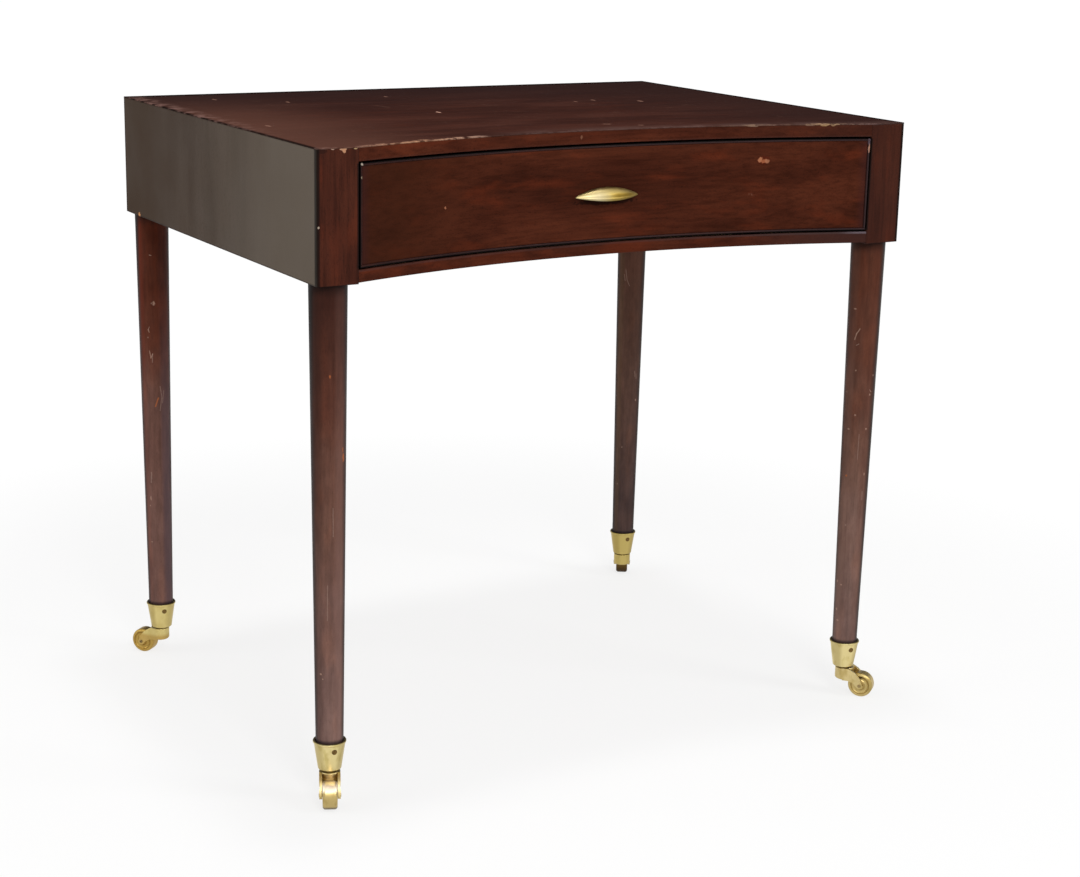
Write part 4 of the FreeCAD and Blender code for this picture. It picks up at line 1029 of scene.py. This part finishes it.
FLOOR_HALF = 30.0
FLOOR_GREY = (0.82, 0.82, 0.82, 1)
FLOOR_GLOW = 1.02
SHADOW_NEAR, SHADOW_FAR = 0.7, 1.5
SHADOW_GLOW_SHARE = 0.76
STUDIO_LOW, STUDIO_HIGH = 0.24, 0.46
CARD_BLACK = (0.01, 0.01, 0.01, 1)


def make_floor():
    """A wide pale floor: white further off, and with the table's soft shadow near the table."""
    material, t, shader, place = new_material("Pale floor")
    material.node_tree.nodes.remove(shader)
    matt = t.add("ShaderNodeBsdfDiffuse")
    matt.inputs["Color"].default_value = FLOOR_GREY
    glow = t.add("ShaderNodeEmission")
    glow.inputs["Color"].default_value = (1, 1, 1, 1)
    glow.inputs["Strength"].default_value = FLOOR_GLOW
    off = t.vector("LENGTH", t.vector("MULTIPLY", place, (1.0, 1.0, 0.0)))
    share = t.spread(off, SHADOW_NEAR, SHADOW_FAR, SHADOW_GLOW_SHARE, 1.0)
    mix = t.add("ShaderNodeMixShader")
    for socket, value in zip(mix.inputs, (t.times(mirror_rays(t), share), matt.outputs[0], glow.outputs[0])):
        t.put(socket, value)
    t.put(material.node_tree.nodes["Material Output"].inputs["Surface"], mix.outputs[0])
    new_sheet("Floor", [(x * FLOOR_HALF, y * FLOOR_HALF, 0) for x, y in ((-1, -1), (1, -1), (1, 1), (-1, 1))],
              material)


def make_dark_card(name, away, distance, half_width, low, high):
    """A black card beyond the table that only shows in its polish and brass, on the given side."""
    material, _, shader, _ = new_material(name)
    shader.inputs["Base Color"].default_value = CARD_BLACK
    shader.inputs["Specular IOR Level"].default_value = 0.0
    away = Vector(away).normalized()
    along = Vector((away.y, -away.x, 0))
    foot = away * distance + Vector((0, 0, low))
    rise = Vector((0, 0, high - low))
    left, right = foot - along * half_width, foot + along * half_width
    card = new_sheet(name.replace(" ", "_"), [left, right, right + rise, left + rise], material)
    card.visible_camera = card.visible_diffuse = card.visible_shadow = card.visible_transmission = False


def make_world():
    """A white backdrop, and a soft grey studio for the light on the table."""
    world = bpy.data.worlds.new("Studio")
    bpy.context.scene.world = world
    world.use_nodes = True
    t = Tree(world.node_tree)
    background = world.node_tree.nodes["Background"]
    up = t.split(t.add("ShaderNodeTexCoord").outputs["Generated"])[2]
    level = t.spread(up, 0.0, 0.9, STUDIO_LOW, STUDIO_HIGH)
    shade = t.blend(mirror_rays(t), t.even(level), (1, 1, 1, 1))
    t.put(background.inputs["Color"], shade)
    background.inputs["Strength"].default_value = 1.0


def make_lamp(name, place, aim, width, height, power):
    """A softbox at a place, turned to what it lights."""
    data = bpy.data.lights.new(name, "AREA")
    data.shape = "RECTANGLE"
    data.size = width
    data.size_y = height
    data.energy = power
    lamp = new_object(name, data)
    lamp.location = place
    lamp.rotation_euler = (Vector(aim) - Vector(place)).to_track_quat("-Z", "Y").to_euler()


def make_camera():
    """The photograph's view: aim, distance, angles, roll and lens."""
    data = bpy.data.cameras.new("Camera")
    data.sensor_width = SENSOR_WIDTH_MM
    data.lens = FOCAL_PX * SENSOR_WIDTH_MM / PHOTO_WIDTH_PX
    data.clip_end = 100.0
    camera = new_object("Camera", data)
    flat = math.cos(CAMERA_HEIGHT_ANGLE)
    back = Vector((math.sin(CAMERA_AZIMUTH) * flat, -math.cos(CAMERA_AZIMUTH) * flat,
                   math.sin(CAMERA_HEIGHT_ANGLE)))
    right = (-back).cross(Vector((0, 0, 1))).normalized()
    up = right.cross(-back)
    turned_right = math.cos(CAMERA_ROLL) * right + math.sin(CAMERA_ROLL) * up
    turned_up = -math.sin(CAMERA_ROLL) * right + math.cos(CAMERA_ROLL) * up
    turn = Matrix((turned_right, turned_up, back)).transposed().to_4x4()
    camera.matrix_world = Matrix.Translation(CAMERA_AIM + back * CAMERA_DISTANCE) @ turn
    bpy.context.scene.camera = camera


make_floor()
make_world()
# Each card: direction from the table, distance, half width, lowest and highest edge, in metres
for name, *card in (("Black card behind", (0.515, 0.857, 0), 2.4, 4.5, 0.78, 5.78),
                    ("Black card left", (-1, 0.05, 0), 3.2, 0.7, 0.0, 2.4),
                    ("Black card right", (0.75, -0.66, 0), 3.4, 0.5, 0.0, 1.3)):
    make_dark_card(name, *card)
# Each softbox: place, aim, width and height in metres, power in watts
for name, *lamp in (("Overhead softbox", (0.11, 0.145, 4.4), (0, 0, 0.4), 0.6, 0.6, 58),
                    ("Front left softbox", (-0.8, -3.1, 2.5), (0, 0, 0.5), 1.0, 1.0, 46),
                    ("Front right softbox", (2.1, -2.5, 2.4), (0, 0, 0.5), 1.0, 1.4, 34),
                    ("Left softbox", (-3.0, 0.6, 1.4), (0, 0, 0.5), 1.6, 1.6, 24)):
    make_lamp(name, *lamp)
make_camera()
bpy.context.scene.view_settings.view_transform = "Standard"
